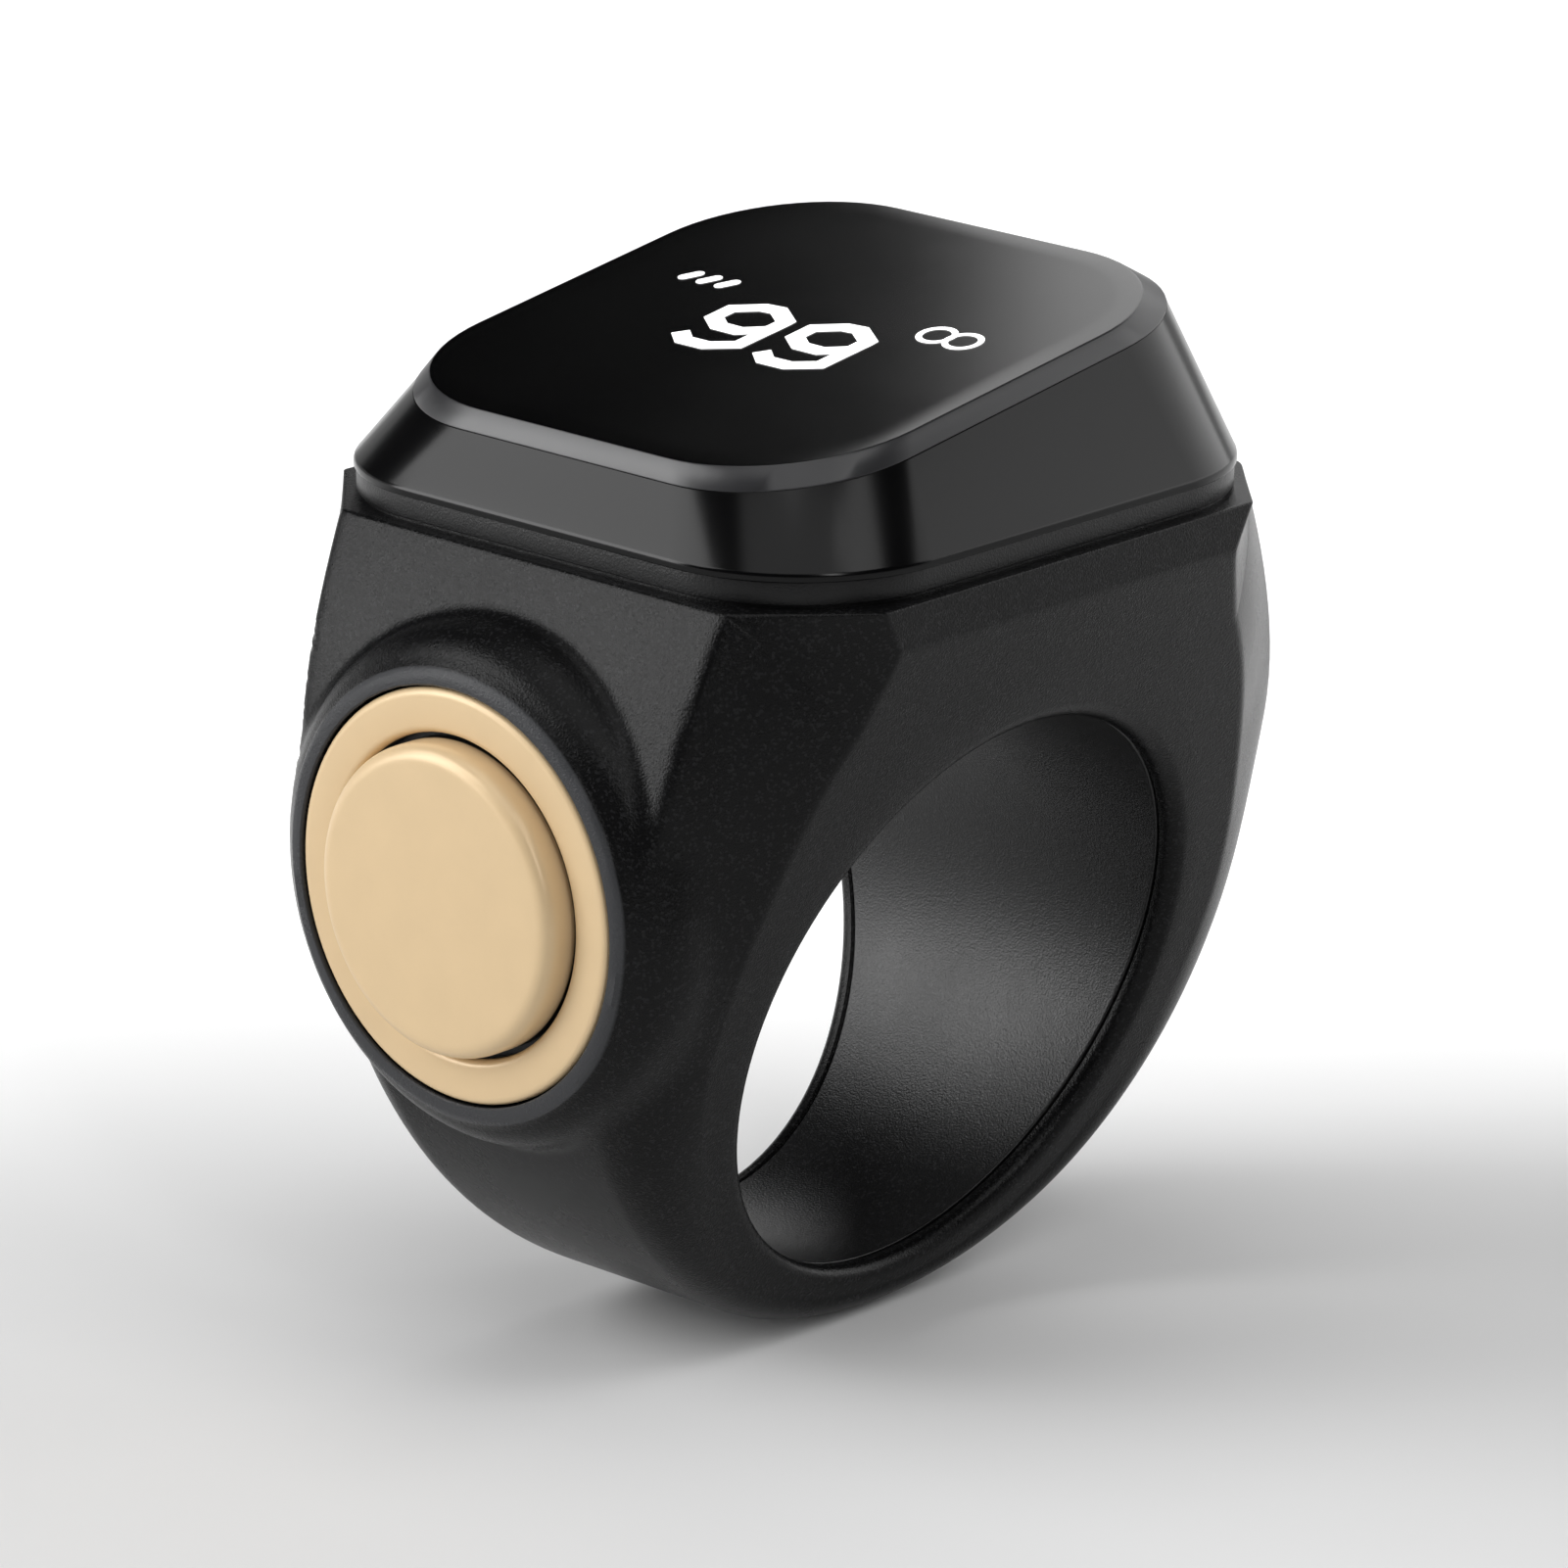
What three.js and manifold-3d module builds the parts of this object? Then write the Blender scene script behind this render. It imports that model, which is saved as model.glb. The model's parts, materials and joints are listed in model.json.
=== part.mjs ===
// Counter ring: a finger ring with a tilted display head on top and a push button on its side.
// Lengths are millimetres. The origin is the centre of the finger hole.
// +Y runs along the finger hole, +Z points up to the display, and the button faces -X.
import * as THREE from 'three';
import { mergeVertices } from 'three/addons/utils/BufferGeometryUtils.js';
import Module from 'manifold-3d';

const wasm = await Module();
wasm.setup();

// Finger hole and its liner
const fingerHoleR = 10;
const linerWall = 0.8;
const linerFit = 0.05;
const holeEdgeRound = 0.6;
const lipLand = 0.2;

// Ring band: its two flat faces spread from the hole up to a crease just under the head's top
const faceHalfAtHole = 7.7;
const creaseDrop = 1.48;
const sideWall = 5.6;
const widestRise = 4;
const bottomWall = 2;

// How far the flat face reaches out from the hole, from the head's corner down to the bottom
const cornerFaceLand = 5;
const flankFaceLand = 3.15;
const sideFaceLand = 2.35;
const lowerFaceLand = 1.45;
const bottomFaceLand = 1;

// Half the width of the flat outer side at the same places below the corner
const flankSideHalf = 5.2;
const midSideHalf = 5.5;
const lowerSideHalf = 3.9;
const bottomSideHalf = 2.4;

// Stations down the band by angle from the display, with how full the facet between the flat face
// and the flat side is: 0 is straight across and 1 reaches their corner
const cornerFullness = 0.5;
const bandStations = [
  { angle: 62, faceLand: flankFaceLand, sideHalf: flankSideHalf, fullness: 0.84 },
  { angle: 90, faceLand: sideFaceLand, sideHalf: midSideHalf, fullness: 0.55 },
  { angle: 135, faceLand: lowerFaceLand, sideHalf: lowerSideHalf, fullness: 0.95 },
  { angle: 180, faceLand: bottomFaceLand, sideHalf: bottomSideHalf, fullness: 0.93 },
];
const cornerEase = 0.8;

// Head of the ring body
const headHalfX = 12.54;
const headHalfY = 12.13;
const headCornerCut = 3.52;
const headWall = 2.15;
const headFloor = 0.85;
const cavityDepth = 4.3;
const cavityCornerR = 4;

// Frame that plugs into the head and shows as a short neck
const neckInset = 0.45;
const neckHeight = 0.9;
const neckCornerR = 5.6;
const skirtFit = 0.1;
const skirtWall = 0.8;
const skirtReach = 1.8;
const ledgeThickness = 0.6;
const ledgeWidth = 0.9;
const ledgeEndWidth = 0.15;

// Glossy cover and the display glass on it
const coverInset = 0.3;
const coverCornerR = 5.9;
const coverLip = 0.25;
const coverWall = 1.1;
const coverRise = 3.95;
const rimHalfX = 10.6;
const rimHalfY = 10.05;
const rimCornerR = 5.4;
const rimCentreX = -0.32;
const rimWidth = 1.25;
const gasketSeatInset = 0.55;
const gasketSeatDepth = 0.2;
const gasketFit = 0.04;
const displaySlope = 0.155;
const glassThickness = 0.65;
const glassBevelX = 0.65;
const glassBevelY = 0.35;
const glassCornerR = 5.5;
const glassCentreX = -0.47;

// Display panel and the bracket under it
const panelHalfX = 5.3;
const panelHalfY = 8;
const panelThickness = 1.1;
const panelCornerR = 0.5;
const panelGap = 0.15;
const panelSeatGap = 0.1;
const bracketFootInset = 0.7;
const bracketFootHeight = 0.5;
const bracketHalfX = 8.9;
const bracketHalfY = 8.5;
const bracketCornerR = 3.9;
const bracketWall = 0.7;
const bracketPlate = 0.6;
const bracketWindowInset = 0.9;
const bracketWindowR = 1;

// Main board and what is soldered to it
const boardFit = 0.2;
const boardThickness = 0.6;
const chipHeight = 0.8;
const radioChipSide = 4;
const memoryChipSide = 2.8;
const chargeChipSide = 1.8;
const crystalLength = 2;
const crystalWidth = 1.6;
const crystalHeight = 0.5;
const antennaLength = 3.2;
const antennaWidth = 1.6;
const antennaHeight = 0.9;
const connectorLength = 5;
const connectorWidth = 1.6;
const connectorHeight = 0.9;
const chipRowInset = 5.5;
const antennaInset = 1.9;
const chipInset = 6.1;
const crystalInset = 9.9;
const chargeChipInset = 2.9;
const connectorInset = 5.9;

// Battery and vibration motor on the head's floor
const batteryGap = 0.6;
const batteryEndGap = 2.5;
const batteryHeadroom = 0.7;
const batteryTabWidth = 3;
const batteryTabDrop = 1.6;
const motorR = 3;
const motorThickness = 2;
const motorGap = 0.8;
const motorY = 4.5;
const motorTabWidth = 1.5;
const padThickness = 0.2;
const padInset = 0.25;

// Charging contacts in the bore, and the flat ribbons
const contactSpacing = 5;
const contactHeadR = 0.9;
const contactStemR = 0.6;
const contactHoleFit = 0.1;
const contactRecess = 0.02;
const ribbonThickness = 0.2;
const ribbonEdgeGap = 0.15;
const ribbonMargin = 0.3;
const ribbonBend = 0.7;
const ribbonEndGap = 0.1;
const contactRibbonReach = 1.2;
const contactRibbonMargin = 1;
const buttonRibbonWidth = 2.4;

// Push button, all on one axis along X
const buttonRise = 5.5;
const bossProud = 0.5;
const bossWall = 0.5;
const bossFlare = 1.12;
const bossFlareDepth = 2.9;
const bossRimRound = 0.2;
const bezelFit = 0.08;
const bezelBand = 1.5;
const bezelLipThickness = 0.7;
const bezelEdgeRound = 0.3;
const capR = 5.2;
const capGap = 0.2;
const capProud = 0.95;
const capEdgeRound = 0.6;
const capFlangeWidth = 0.65;
const capFlangeThickness = 0.6;
const capFlangeGap = 0.1;
const capTopThickness = 1.15;
const capWall = 0.85;
const capBossR = 1.6;
const capBossHeight = 0.8;
const buttonTravel = 0.5;
const bezelSeatDepth = 1.6;
const sealThickness = 0.3;
const sealWall = 0.5;
const chamberDepth = 2.7;
const chamberFloorWall = 0.6;
const switchChamberR = 5.2;
const switchBoardFit = 0.3;
const switchBoardThickness = 0.6;
const switchSide = 3.6;
const switchHeight = 1;
const switchWellR = 0.95;
const switchPinR = 0.75;
const switchPinProud = 0.4;
const switchPinDepth = 0.15;
const switchWellClear = 0.15;
const passageWidth = 4.4;
const passageRise = 1.3;
const passageOverlap = 1.2;
const passageClear = 0.4;
const stemR = 0.9;
const springR = 3;
const springWireR = 0.2;
const springTurns = 4;
const springEndGap = 0.25;
const springClear = 0.5;

// How finely round shapes are faceted, and how far a cutting tool runs past a surface
const headSteps = 4;
const bandSteps = 15;
const facetSteps = 4;
const roundSteps = 3;
const discSegments = 40;
const pinSegments = 16;
const springStepsPerTurn = 8;
const springSides = 5;
const cutOver = 1;

// Places worked out from the sizes above
const linerOuterR = fingerHoleR + linerWall;
const recessR = linerOuterR + linerFit;
const headFloorZ = recessR + headFloor;
const shoulderZ = headFloorZ + cavityDepth;
const creaseZ = shoulderZ - creaseDrop;
const faceTaper = (headHalfY - faceHalfAtHole) / creaseZ;
const widestHalfX = fingerHoleR + sideWall;
const bottomDepth = fingerHoleR + bottomWall;
const cornerStart = Math.atan2(headHalfX - headCornerCut, shoulderZ);
const cornerEnd = Math.atan2(headHalfX, shoulderZ);
const neckTopZ = shoulderZ + neckHeight;
const rimZ = neckTopZ + coverRise;
const cavityHalfX = headHalfX - headWall;
const cavityHalfY = headHalfY - headWall;
const skirtHalfX = cavityHalfX - skirtFit;
const skirtHalfY = cavityHalfY - skirtFit;
const skirtCornerR = cavityCornerR - skirtFit;
const frameHoleX = skirtHalfX - skirtWall;
const frameHoleY = skirtHalfY - skirtWall;
const frameHoleR = skirtCornerR - skirtWall;
const skirtBottomZ = shoulderZ - skirtReach;
const boardBottomZ = skirtBottomZ + ledgeThickness;
const boardTopZ = boardBottomZ + boardThickness;
const boardHalfX = frameHoleX - boardFit;
const boardHalfY = frameHoleY - boardFit;
const connectorX = boardHalfX - connectorInset;
const coverHalfX = headHalfX - coverInset;
const coverHalfY = headHalfY - coverInset;
const panelTopZ = rimZ - panelGap;
const panelUnderZ = panelTopZ - panelThickness;
const motorX = -(cavityHalfX - motorR - motorGap);
const motorTopZ = headFloorZ + padThickness + motorThickness;
const riserX = boardHalfX - ribbonThickness / 2 - ribbonEdgeGap;
const batteryNearX = motorX + motorR + batteryGap;
const batteryFarX = riserX - ribbonThickness / 2 - batteryGap;
const batteryHalfY = cavityHalfY - batteryEndGap;
const batteryBottomZ = headFloorZ + ribbonThickness + padThickness;
const batteryTopZ = boardBottomZ - batteryHeadroom;
const bossFace = widestHalfX + bossProud;
const bezelInnerR = capR + capGap;
const bezelR = bezelInnerR + bezelBand;
const bossRimR = bezelR + bezelFit + bossWall;
const bezelSeat = bossFace - bezelSeatDepth;
const chamberFloor = recessR + chamberFloorWall;
const switchStep = bossFace - chamberDepth;
const bezelUndercutR = bezelInnerR + capFlangeWidth;
const bezelLipUnder = bossFace - bezelLipThickness;
const capFace = bossFace + capProud;
const flangeTop = bezelLipUnder - capFlangeGap;
const flangeBottom = flangeTop - capFlangeThickness;
const capCeiling = capFace - capTopThickness;
const capBossEnd = capCeiling - capBossHeight;
const switchBoardR = switchChamberR - switchBoardFit;
const switchBoardTop = chamberFloor + switchBoardThickness;
const switchTop = switchBoardTop + switchHeight;
const switchPinTop = switchTop + switchPinProud;
const switchPinFoot = switchTop - switchPinDepth;

// What is soldered to the main board, each piece as far in from the board's edges as its inset
const boardParts = [
  {
    name: 'radio_chip',
    size: [radioChipSide, radioChipSide, chipHeight],
    at: [chipInset - boardHalfX, chipRowInset - boardHalfY],
    finish: 'chip',
  },
  {
    name: 'memory_chip',
    size: [memoryChipSide, memoryChipSide, chipHeight],
    at: [chipInset - boardHalfX, boardHalfY - chipRowInset],
    finish: 'chip',
  },
  {
    name: 'charge_chip',
    size: [chargeChipSide, chargeChipSide, chipHeight],
    at: [boardHalfX - chargeChipInset, boardHalfY - chipRowInset],
    finish: 'chip',
  },
  {
    name: 'crystal_can',
    size: [crystalLength, crystalWidth, crystalHeight],
    at: [crystalInset - boardHalfX, chipRowInset - boardHalfY],
    finish: 'steel',
  },
  {
    name: 'chip_antenna',
    size: [antennaWidth, antennaLength, antennaHeight],
    at: [antennaInset - boardHalfX, chipRowInset - boardHalfY],
    finish: 'whitePlastic',
  },
  {
    name: 'ribbon_connector',
    size: [connectorWidth, connectorLength, connectorHeight],
    at: [connectorX, 0],
    finish: 'whitePlastic',
  },
];

// Colour, roughness and metalness of each finish
const finishes = {
  mattePlastic: [0x1b1b1c, 0.55, 0],
  linerPlastic: [0x202021, 0.5, 0],
  glossPlastic: [0x141415, 0.15, 0],
  darkGlass: [0x050506, 0.05, 0],
  champagne: [0xdec398, 0.4, 0.2],
  rubber: [0x2a2a2c, 0.9, 0],
  steel: [0xb8babd, 0.3, 1],
  gold: [0xd0a64b, 0.3, 1],
  boardGreen: [0x1f5a3a, 0.6, 0],
  chip: [0x26262a, 0.6, 0],
  foil: [0xc4c7cb, 0.4, 0.8],
  ribbon: [0xb5742a, 0.5, 0],
  foam: [0x3a3a3d, 0.95, 0],
  whitePlastic: [0xd9d8d2, 0.6, 0],
};

const assembly = new THREE.Group();

function addPiece(name, geometry, finish, parent = assembly) {
  const [color, roughness, metalness] = finishes[finish];
  const material = new THREE.MeshStandardMaterial({ color, roughness, metalness });
  const mesh = new THREE.Mesh(geometry, material);
  mesh.name = name;
  parent.add(mesh);
  return mesh;
}

function signedVolume(positions, index) {
  const a = new THREE.Vector3();
  const b = new THREE.Vector3();
  const c = new THREE.Vector3();
  let sum = 0;
  for (let i = 0; i < index.length; i += 3) {
    a.fromArray(positions, index[i] * 3);
    b.fromArray(positions, index[i + 1] * 3);
    c.fromArray(positions, index[i + 2] * 3);
    sum += a.dot(b.cross(c)) / 6;
  }
  return sum;
}

// Merges shared corners and turns the faces outwards
function closedShell(geometry) {
  geometry.deleteAttribute('normal');
  geometry.deleteAttribute('uv');
  const merged = mergeVertices(geometry, 1e-4);
  const index = Array.from(merged.index.array);
  const kept = [];
  for (let i = 0; i < index.length; i += 3) {
    const [p, q, r] = index.slice(i, i + 3);
    if (p !== q && q !== r && r !== p) {
      kept.push(p, q, r);
    }
  }
  if (signedVolume(merged.attributes.position.array, kept) < 0) {
    kept.reverse();
  }
  merged.setIndex(kept);
  return merged;
}

function meshFromArrays(positions, index) {
  const geometry = new THREE.BufferGeometry();
  geometry.setAttribute('position', new THREE.Float32BufferAttribute(positions, 3));
  geometry.setIndex(index);
  return closedShell(geometry);
}

// Skin over a closed loop of closed loops, or over a row of them with flat ends
function skinLoops(loops, joinEnds) {
  const size = loops[0].length;
  const positions = loops.flat().flatMap((p) => [p.x, p.y, p.z]);
  const index = [];
  const bands = joinEnds ? loops.length : loops.length - 1;
  for (let i = 0; i < bands; i += 1) {
    const near = i * size;
    const far = ((i + 1) % loops.length) * size;
    for (let j = 0; j < size; j += 1) {
      const next = (j + 1) % size;
      index.push(near + j, near + next, far + next, near + j, far + next, far + j);
    }
  }
  if (!joinEnds) {
    [0, loops.length - 1].forEach((end) => {
      const centre = positions.length / 3;
      const middle = new THREE.Vector3();
      loops[end].forEach((p) => middle.add(p));
      middle.divideScalar(size);
      positions.push(middle.x, middle.y, middle.z);
      for (let j = 0; j < size; j += 1) {
        const here = end * size + j;
        const next = end * size + ((j + 1) % size);
        index.push(...(end === 0 ? [centre, next, here] : [centre, here, next]));
      }
    });
  }
  return meshFromArrays(positions, index);
}

function toSolid(geometry) {
  const mesh = new wasm.Mesh({
    numProp: 3,
    vertProperties: new Float32Array(geometry.attributes.position.array),
    triVerts: new Uint32Array(geometry.index.array),
  });
  return new wasm.Manifold(mesh);
}

function fromSolid(solid) {
  const mesh = solid.getMesh();
  const geometry = new THREE.BufferGeometry();
  geometry.setAttribute('position', new THREE.BufferAttribute(new Float32Array(mesh.vertProperties), 3));
  geometry.setIndex(Array.from(mesh.triVerts));
  return geometry;
}

function cut(geometry, tools) {
  return fromSolid(tools.reduce((solid, tool) => solid.subtract(toSolid(tool)), toSolid(geometry)));
}

// Rounded rectangle as a loop of points, at a height that may slope along X
function roundedLoop(halfX, halfY, cornerR, heightAt, centreX = 0, steps = 5) {
  const points = [];
  const corners = [[1, 1, 0], [-1, 1, 90], [-1, -1, 180], [1, -1, 270]];
  corners.forEach(([sideX, sideY, start]) => {
    for (let i = 0; i <= steps; i += 1) {
      const angle = THREE.MathUtils.degToRad(start + (90 * i) / steps);
      const x = centreX + sideX * (halfX - cornerR) + cornerR * Math.cos(angle);
      const y = sideY * (halfY - cornerR) + cornerR * Math.sin(angle);
      points.push(new THREE.Vector3(x, y, heightAt(x)));
    }
  });
  return points;
}

const level = (z) => () => z;
const sloped = (z) => (x) => z + displaySlope * x;

function boxBetween(low, high) {
  const [sizeX, sizeY, sizeZ] = high.map((value, i) => value - low[i]);
  const geometry = new THREE.BoxGeometry(sizeX, sizeY, sizeZ);
  geometry.translate(low[0] + sizeX / 2, low[1] + sizeY / 2, low[2] + sizeZ / 2);
  return closedShell(geometry);
}

function turned(profile, segments = discSegments) {
  const points = profile.map(([r, y]) => new THREE.Vector2(r, y));
  return closedShell(new THREE.LatheGeometry(points, segments));
}

// Round disc or rod between two places along its axis
function rod(r, from, to, segments = discSegments) {
  return turned([[0, from], [r, from], [r, to], [0, to]], segments);
}

// Turned piece stood up, so that its axis runs along +Z through a point of the XY plane
function upright(geometry, x, y) {
  return geometry.rotateX(Math.PI / 2).translate(x, y, 0);
}

// Quarter round from one side of a corner to the other, as lathe profile points
function cornerArc(centreR, centreY, radius, startDeg, endDeg) {
  return Array.from({ length: roundSteps + 1 }, (_, i) => {
    const angle = THREE.MathUtils.degToRad(startDeg + ((endDeg - startDeg) * i) / roundSteps);
    return [centreR + radius * Math.cos(angle), centreY + radius * Math.sin(angle)];
  });
}

// Flat strip bent along points in the XZ plane, as wide as given along Y
function ribbonStrip(points, thickness, width) {
  const sides = [-1, 1].map((side) => points.map(([x, z], i) => {
    const before = points[Math.max(i - 1, 0)];
    const after = points[Math.min(i + 1, points.length - 1)];
    const alongIn = new THREE.Vector2(x - before[0], z - before[1]).normalize();
    const alongOut = new THREE.Vector2(after[0] - x, after[1] - z).normalize();
    const along = alongIn.clone().add(alongOut).normalize();
    const straight = i === 0 ? alongOut : alongIn;
    const reach = thickness / 2 / Math.max(along.dot(straight), 0.5);
    return new THREE.Vector2(x - side * along.y * reach, z + side * along.x * reach);
  }));
  const outline = new THREE.Shape([...sides[0], ...sides[1].reverse()]);
  const geometry = new THREE.ExtrudeGeometry(outline, { depth: width, bevelEnabled: false });
  geometry.rotateX(Math.PI / 2);
  geometry.translate(0, width / 2, 0);
  return closedShell(geometry);
}

// Smooth curve through one value of each band station, over the angle in degrees
function alongBand(key) {
  const headCorner = {
    angle: THREE.MathUtils.radToDeg(cornerEnd),
    faceLand: cornerFaceLand,
    sideHalf: headHalfY - headCornerCut,
    fullness: cornerFullness,
  };
  const stations = [headCorner, ...bandStations];
  const last = stations.length - 1;
  const rise = (i) => (
    (stations[i + 1][key] - stations[i][key]) / (stations[i + 1].angle - stations[i].angle)
  );
  const slopes = stations.map((station, i) => {
    if (i === 0) {
      return rise(0);
    }
    if (i === last) {
      return 0;
    }
    const before = station.angle - stations[i - 1].angle;
    const after = stations[i + 1].angle - station.angle;
    return (rise(i - 1) * after + rise(i) * before) / (before + after);
  });
  return (angle) => {
    const next = stations.findIndex((station, i) => i > 0 && angle <= station.angle);
    const to = next < 0 ? last : next;
    const from = to - 1;
    const span = stations[to].angle - stations[from].angle;
    const t = THREE.MathUtils.clamp((angle - stations[from].angle) / span, 0, 1);
    const near = (2 * t ** 3 - 3 * t ** 2 + 1) * stations[from][key];
    const nearSlope = (t ** 3 - 2 * t ** 2 + t) * span * slopes[from];
    const far = (-2 * t ** 3 + 3 * t ** 2) * stations[to][key];
    const farSlope = (t ** 3 - t ** 2) * span * slopes[to];
    return near + nearSlope + far + farSlope;
  };
}

const faceLandAt = alongBand('faceLand');
const sideHalfAt = alongBand('sideHalf');
const fullnessAt = alongBand('fullness');

// Half the ring's width along the finger hole, at a height
function faceHalf(z) {
  return Math.min(faceHalfAtHole + faceTaper * z, headHalfY);
}

function positiveRoot(a, b, c) {
  return Math.abs(a) < 1e-12 ? -c / b : (-b + Math.sqrt(b * b - 4 * a * c)) / (2 * a);
}

// Distance from the hole's centre to the outline seen along the hole: flat across the top,
// a parabola down each flank to the widest point and half an ellipse below it
function outlineRadius(angle) {
  const sin = Math.sin(angle);
  const cos = Math.cos(angle);
  if (angle <= cornerEnd) {
    return shoulderZ / cos;
  }
  if (angle <= Math.atan2(widestHalfX, widestRise)) {
    const bend = (widestHalfX - headHalfX) / (shoulderZ - widestRise) ** 2;
    const b = sin - 2 * bend * cos * widestRise;
    return positiveRoot(bend * cos * cos, b, bend * widestRise ** 2 - widestHalfX);
  }
  const drop = widestRise + bottomDepth;
  const a = (sin / widestHalfX) ** 2 + (cos / drop) ** 2;
  return positiveRoot(a, (-2 * cos * widestRise) / drop ** 2, (widestRise / drop) ** 2 - 1);
}

// Face edge and side edge of the band at an angle from the top, each as radius and half width
function bandEdges(angle) {
  const cos = Math.cos(angle);
  const outer = outlineRadius(angle);
  const creaseR = creaseZ / cos;
  if (angle <= cornerStart) {
    return { face: [creaseR, headHalfY], side: [outer, headHalfY], fullness: 0 };
  }
  const degrees = THREE.MathUtils.radToDeg(Math.max(angle, cornerEnd));
  const landR = fingerHoleR + faceLandAt(degrees);
  const across = Math.min((angle - cornerStart) / (cornerEnd - cornerStart), 1);
  const creaseStartR = creaseZ / Math.cos(cornerStart);
  const faceR = creaseStartR + (landR - creaseStartR) * across ** cornerEase;
  const cornerCut = outer * Math.sin(angle) - (headHalfX - headCornerCut);
  const sideHalf = across < 1 ? headHalfY - cornerCut : sideHalfAt(degrees);
  return {
    face: [faceR, faceHalf(faceR * cos)],
    side: [outer, sideHalf],
    fullness: fullnessAt(degrees) * across,
  };
}

// Facet from the face edge to the side edge: flat at fullness 0, out to their corner at 1
function facetPoints({ face, side, fullness }) {
  const from = new THREE.Vector2(...face);
  const to = new THREE.Vector2(...side);
  const corner = new THREE.Vector2(Math.max(from.x, to.x), Math.max(from.y, to.y));
  const control = from.clone().lerp(to, 0.5).lerp(corner, fullness);
  const curve = new THREE.QuadraticBezierCurve(from, control, to);
  return curve.getPoints(facetSteps).map((p) => [p.x, p.y]);
}

// Half of the band's section, from the liner recess out to the side
function halfSection(angle) {
  const cos = Math.cos(angle);
  const lipBack = (r) => faceHalf(r * cos) - holeEdgeRound - lipLand;
  const points = [[recessR, lipBack(recessR)], [fingerHoleR, lipBack(fingerHoleR)]];
  for (let i = 0; i <= roundSteps; i += 1) {
    const turn = (Math.PI / 2) * (i / roundSteps);
    const r = fingerHoleR + holeEdgeRound * (1 - Math.cos(turn));
    points.push([r, faceHalf(r * cos) - holeEdgeRound * (1 - Math.sin(turn))]);
  }
  return [...points, ...facetPoints(bandEdges(angle))];
}

function bandAngles() {
  const top = Array.from({ length: headSteps + 1 }, (_, i) => (cornerStart * i) / headSteps);
  const corner = [(cornerStart + cornerEnd) / 2, cornerEnd];
  const rest = Array.from({ length: bandSteps }, (_, i) => (
    cornerEnd + ((Math.PI - cornerEnd) * (i + 1)) / bandSteps
  ));
  const half = [...top, ...corner, ...rest];
  const other = half.slice(1, -1).reverse().map((angle) => -angle);
  return [...half, ...other];
}

function sweepAroundHole(sectionAt) {
  const loops = bandAngles().map((angle) => sectionAt(Math.abs(angle)).map(([r, y]) => (
    new THREE.Vector3(r * Math.sin(angle), y, r * Math.cos(angle))
  )));
  return skinLoops(loops, true);
}

function mirroredSection(half) {
  const front = half.map(([r, y]) => [r, -y]);
  return [...front, ...half.slice().reverse()];
}

// Everything on the button axis is turned about a local Y that points out along -X
const buttonAxis = new THREE.Group();
buttonAxis.position.set(0, 0, buttonRise);
buttonAxis.rotation.z = Math.PI / 2;
assembly.add(buttonAxis);
buttonAxis.updateMatrix();

function bossSolid() {
  const foot = recessR + chamberFloorWall / 2;
  const flareStart = new THREE.Vector2(bossRimR + bossFlare, bossFace - bossFlareDepth);
  const flareEnd = new THREE.Vector2(bossRimR, bossFace - bossRimRound);
  const bend = new THREE.Vector2(flareEnd.x, (flareStart.y + flareEnd.y) / 2);
  const flare = new THREE.QuadraticBezierCurve(flareStart, bend, flareEnd);
  const profile = [
    [0, foot],
    [flareStart.x, foot],
    ...flare.getPoints(facetSteps).map((p) => [p.x, p.y]),
    ...cornerArc(bossRimR - bossRimRound, bossFace - bossRimRound, bossRimRound, 0, 90).slice(1),
    [0, bossFace],
  ];
  return turned(profile).applyMatrix4(buttonAxis.matrix);
}

function contactHoles(r, from, to) {
  return [-1, 1].map((side) => upright(rod(r, from, to, pinSegments), 0, (side * contactSpacing) / 2));
}

function ringBody() {
  const band = sweepAroundHole((angle) => mirroredSection(halfSection(angle)));
  const withBoss = toSolid(band).add(toSolid(bossSolid()));
  const cavity = skinLoops([
    roundedLoop(cavityHalfX, cavityHalfY, cavityCornerR, level(headFloorZ)),
    roundedLoop(cavityHalfX, cavityHalfY, cavityCornerR, level(shoulderZ + cutOver)),
  ], false);
  const chamber = turned([
    [0, chamberFloor],
    [switchChamberR, chamberFloor],
    [switchChamberR, switchStep],
    [bezelUndercutR, switchStep],
    [bezelUndercutR, bezelSeat],
    [bezelR + bezelFit, bezelSeat],
    [bezelR + bezelFit, bossFace + cutOver],
    [0, bossFace + cutOver],
  ]).applyMatrix4(buttonAxis.matrix);
  const passageEnd = switchBoardTop + ribbonThickness + passageClear;
  const passageFloor = buttonRise + switchChamberR - passageOverlap;
  const passage = boxBetween(
    [-passageEnd, -passageWidth / 2, passageFloor],
    [ribbonThickness - riserX, passageWidth / 2, headFloorZ + passageRise],
  );
  const holeR = contactStemR + contactHoleFit;
  const holes = contactHoles(holeR, fingerHoleR, headFloorZ + cutOver);
  return cut(fromSolid(withBoss), [cavity, chamber, passage, ...holes]);
}

function innerLiner() {
  const half = (angle) => [linerOuterR, fingerHoleR].map((r) => (
    [r, faceHalf(r * Math.cos(angle)) - holeEdgeRound - lipLand - linerFit]
  ));
  const sleeve = sweepAroundHole((angle) => mirroredSection(half(angle)));
  const holeR = contactHeadR + contactHoleFit;
  return cut(sleeve, contactHoles(holeR, fingerHoleR - cutOver, recessR + cutOver));
}

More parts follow.
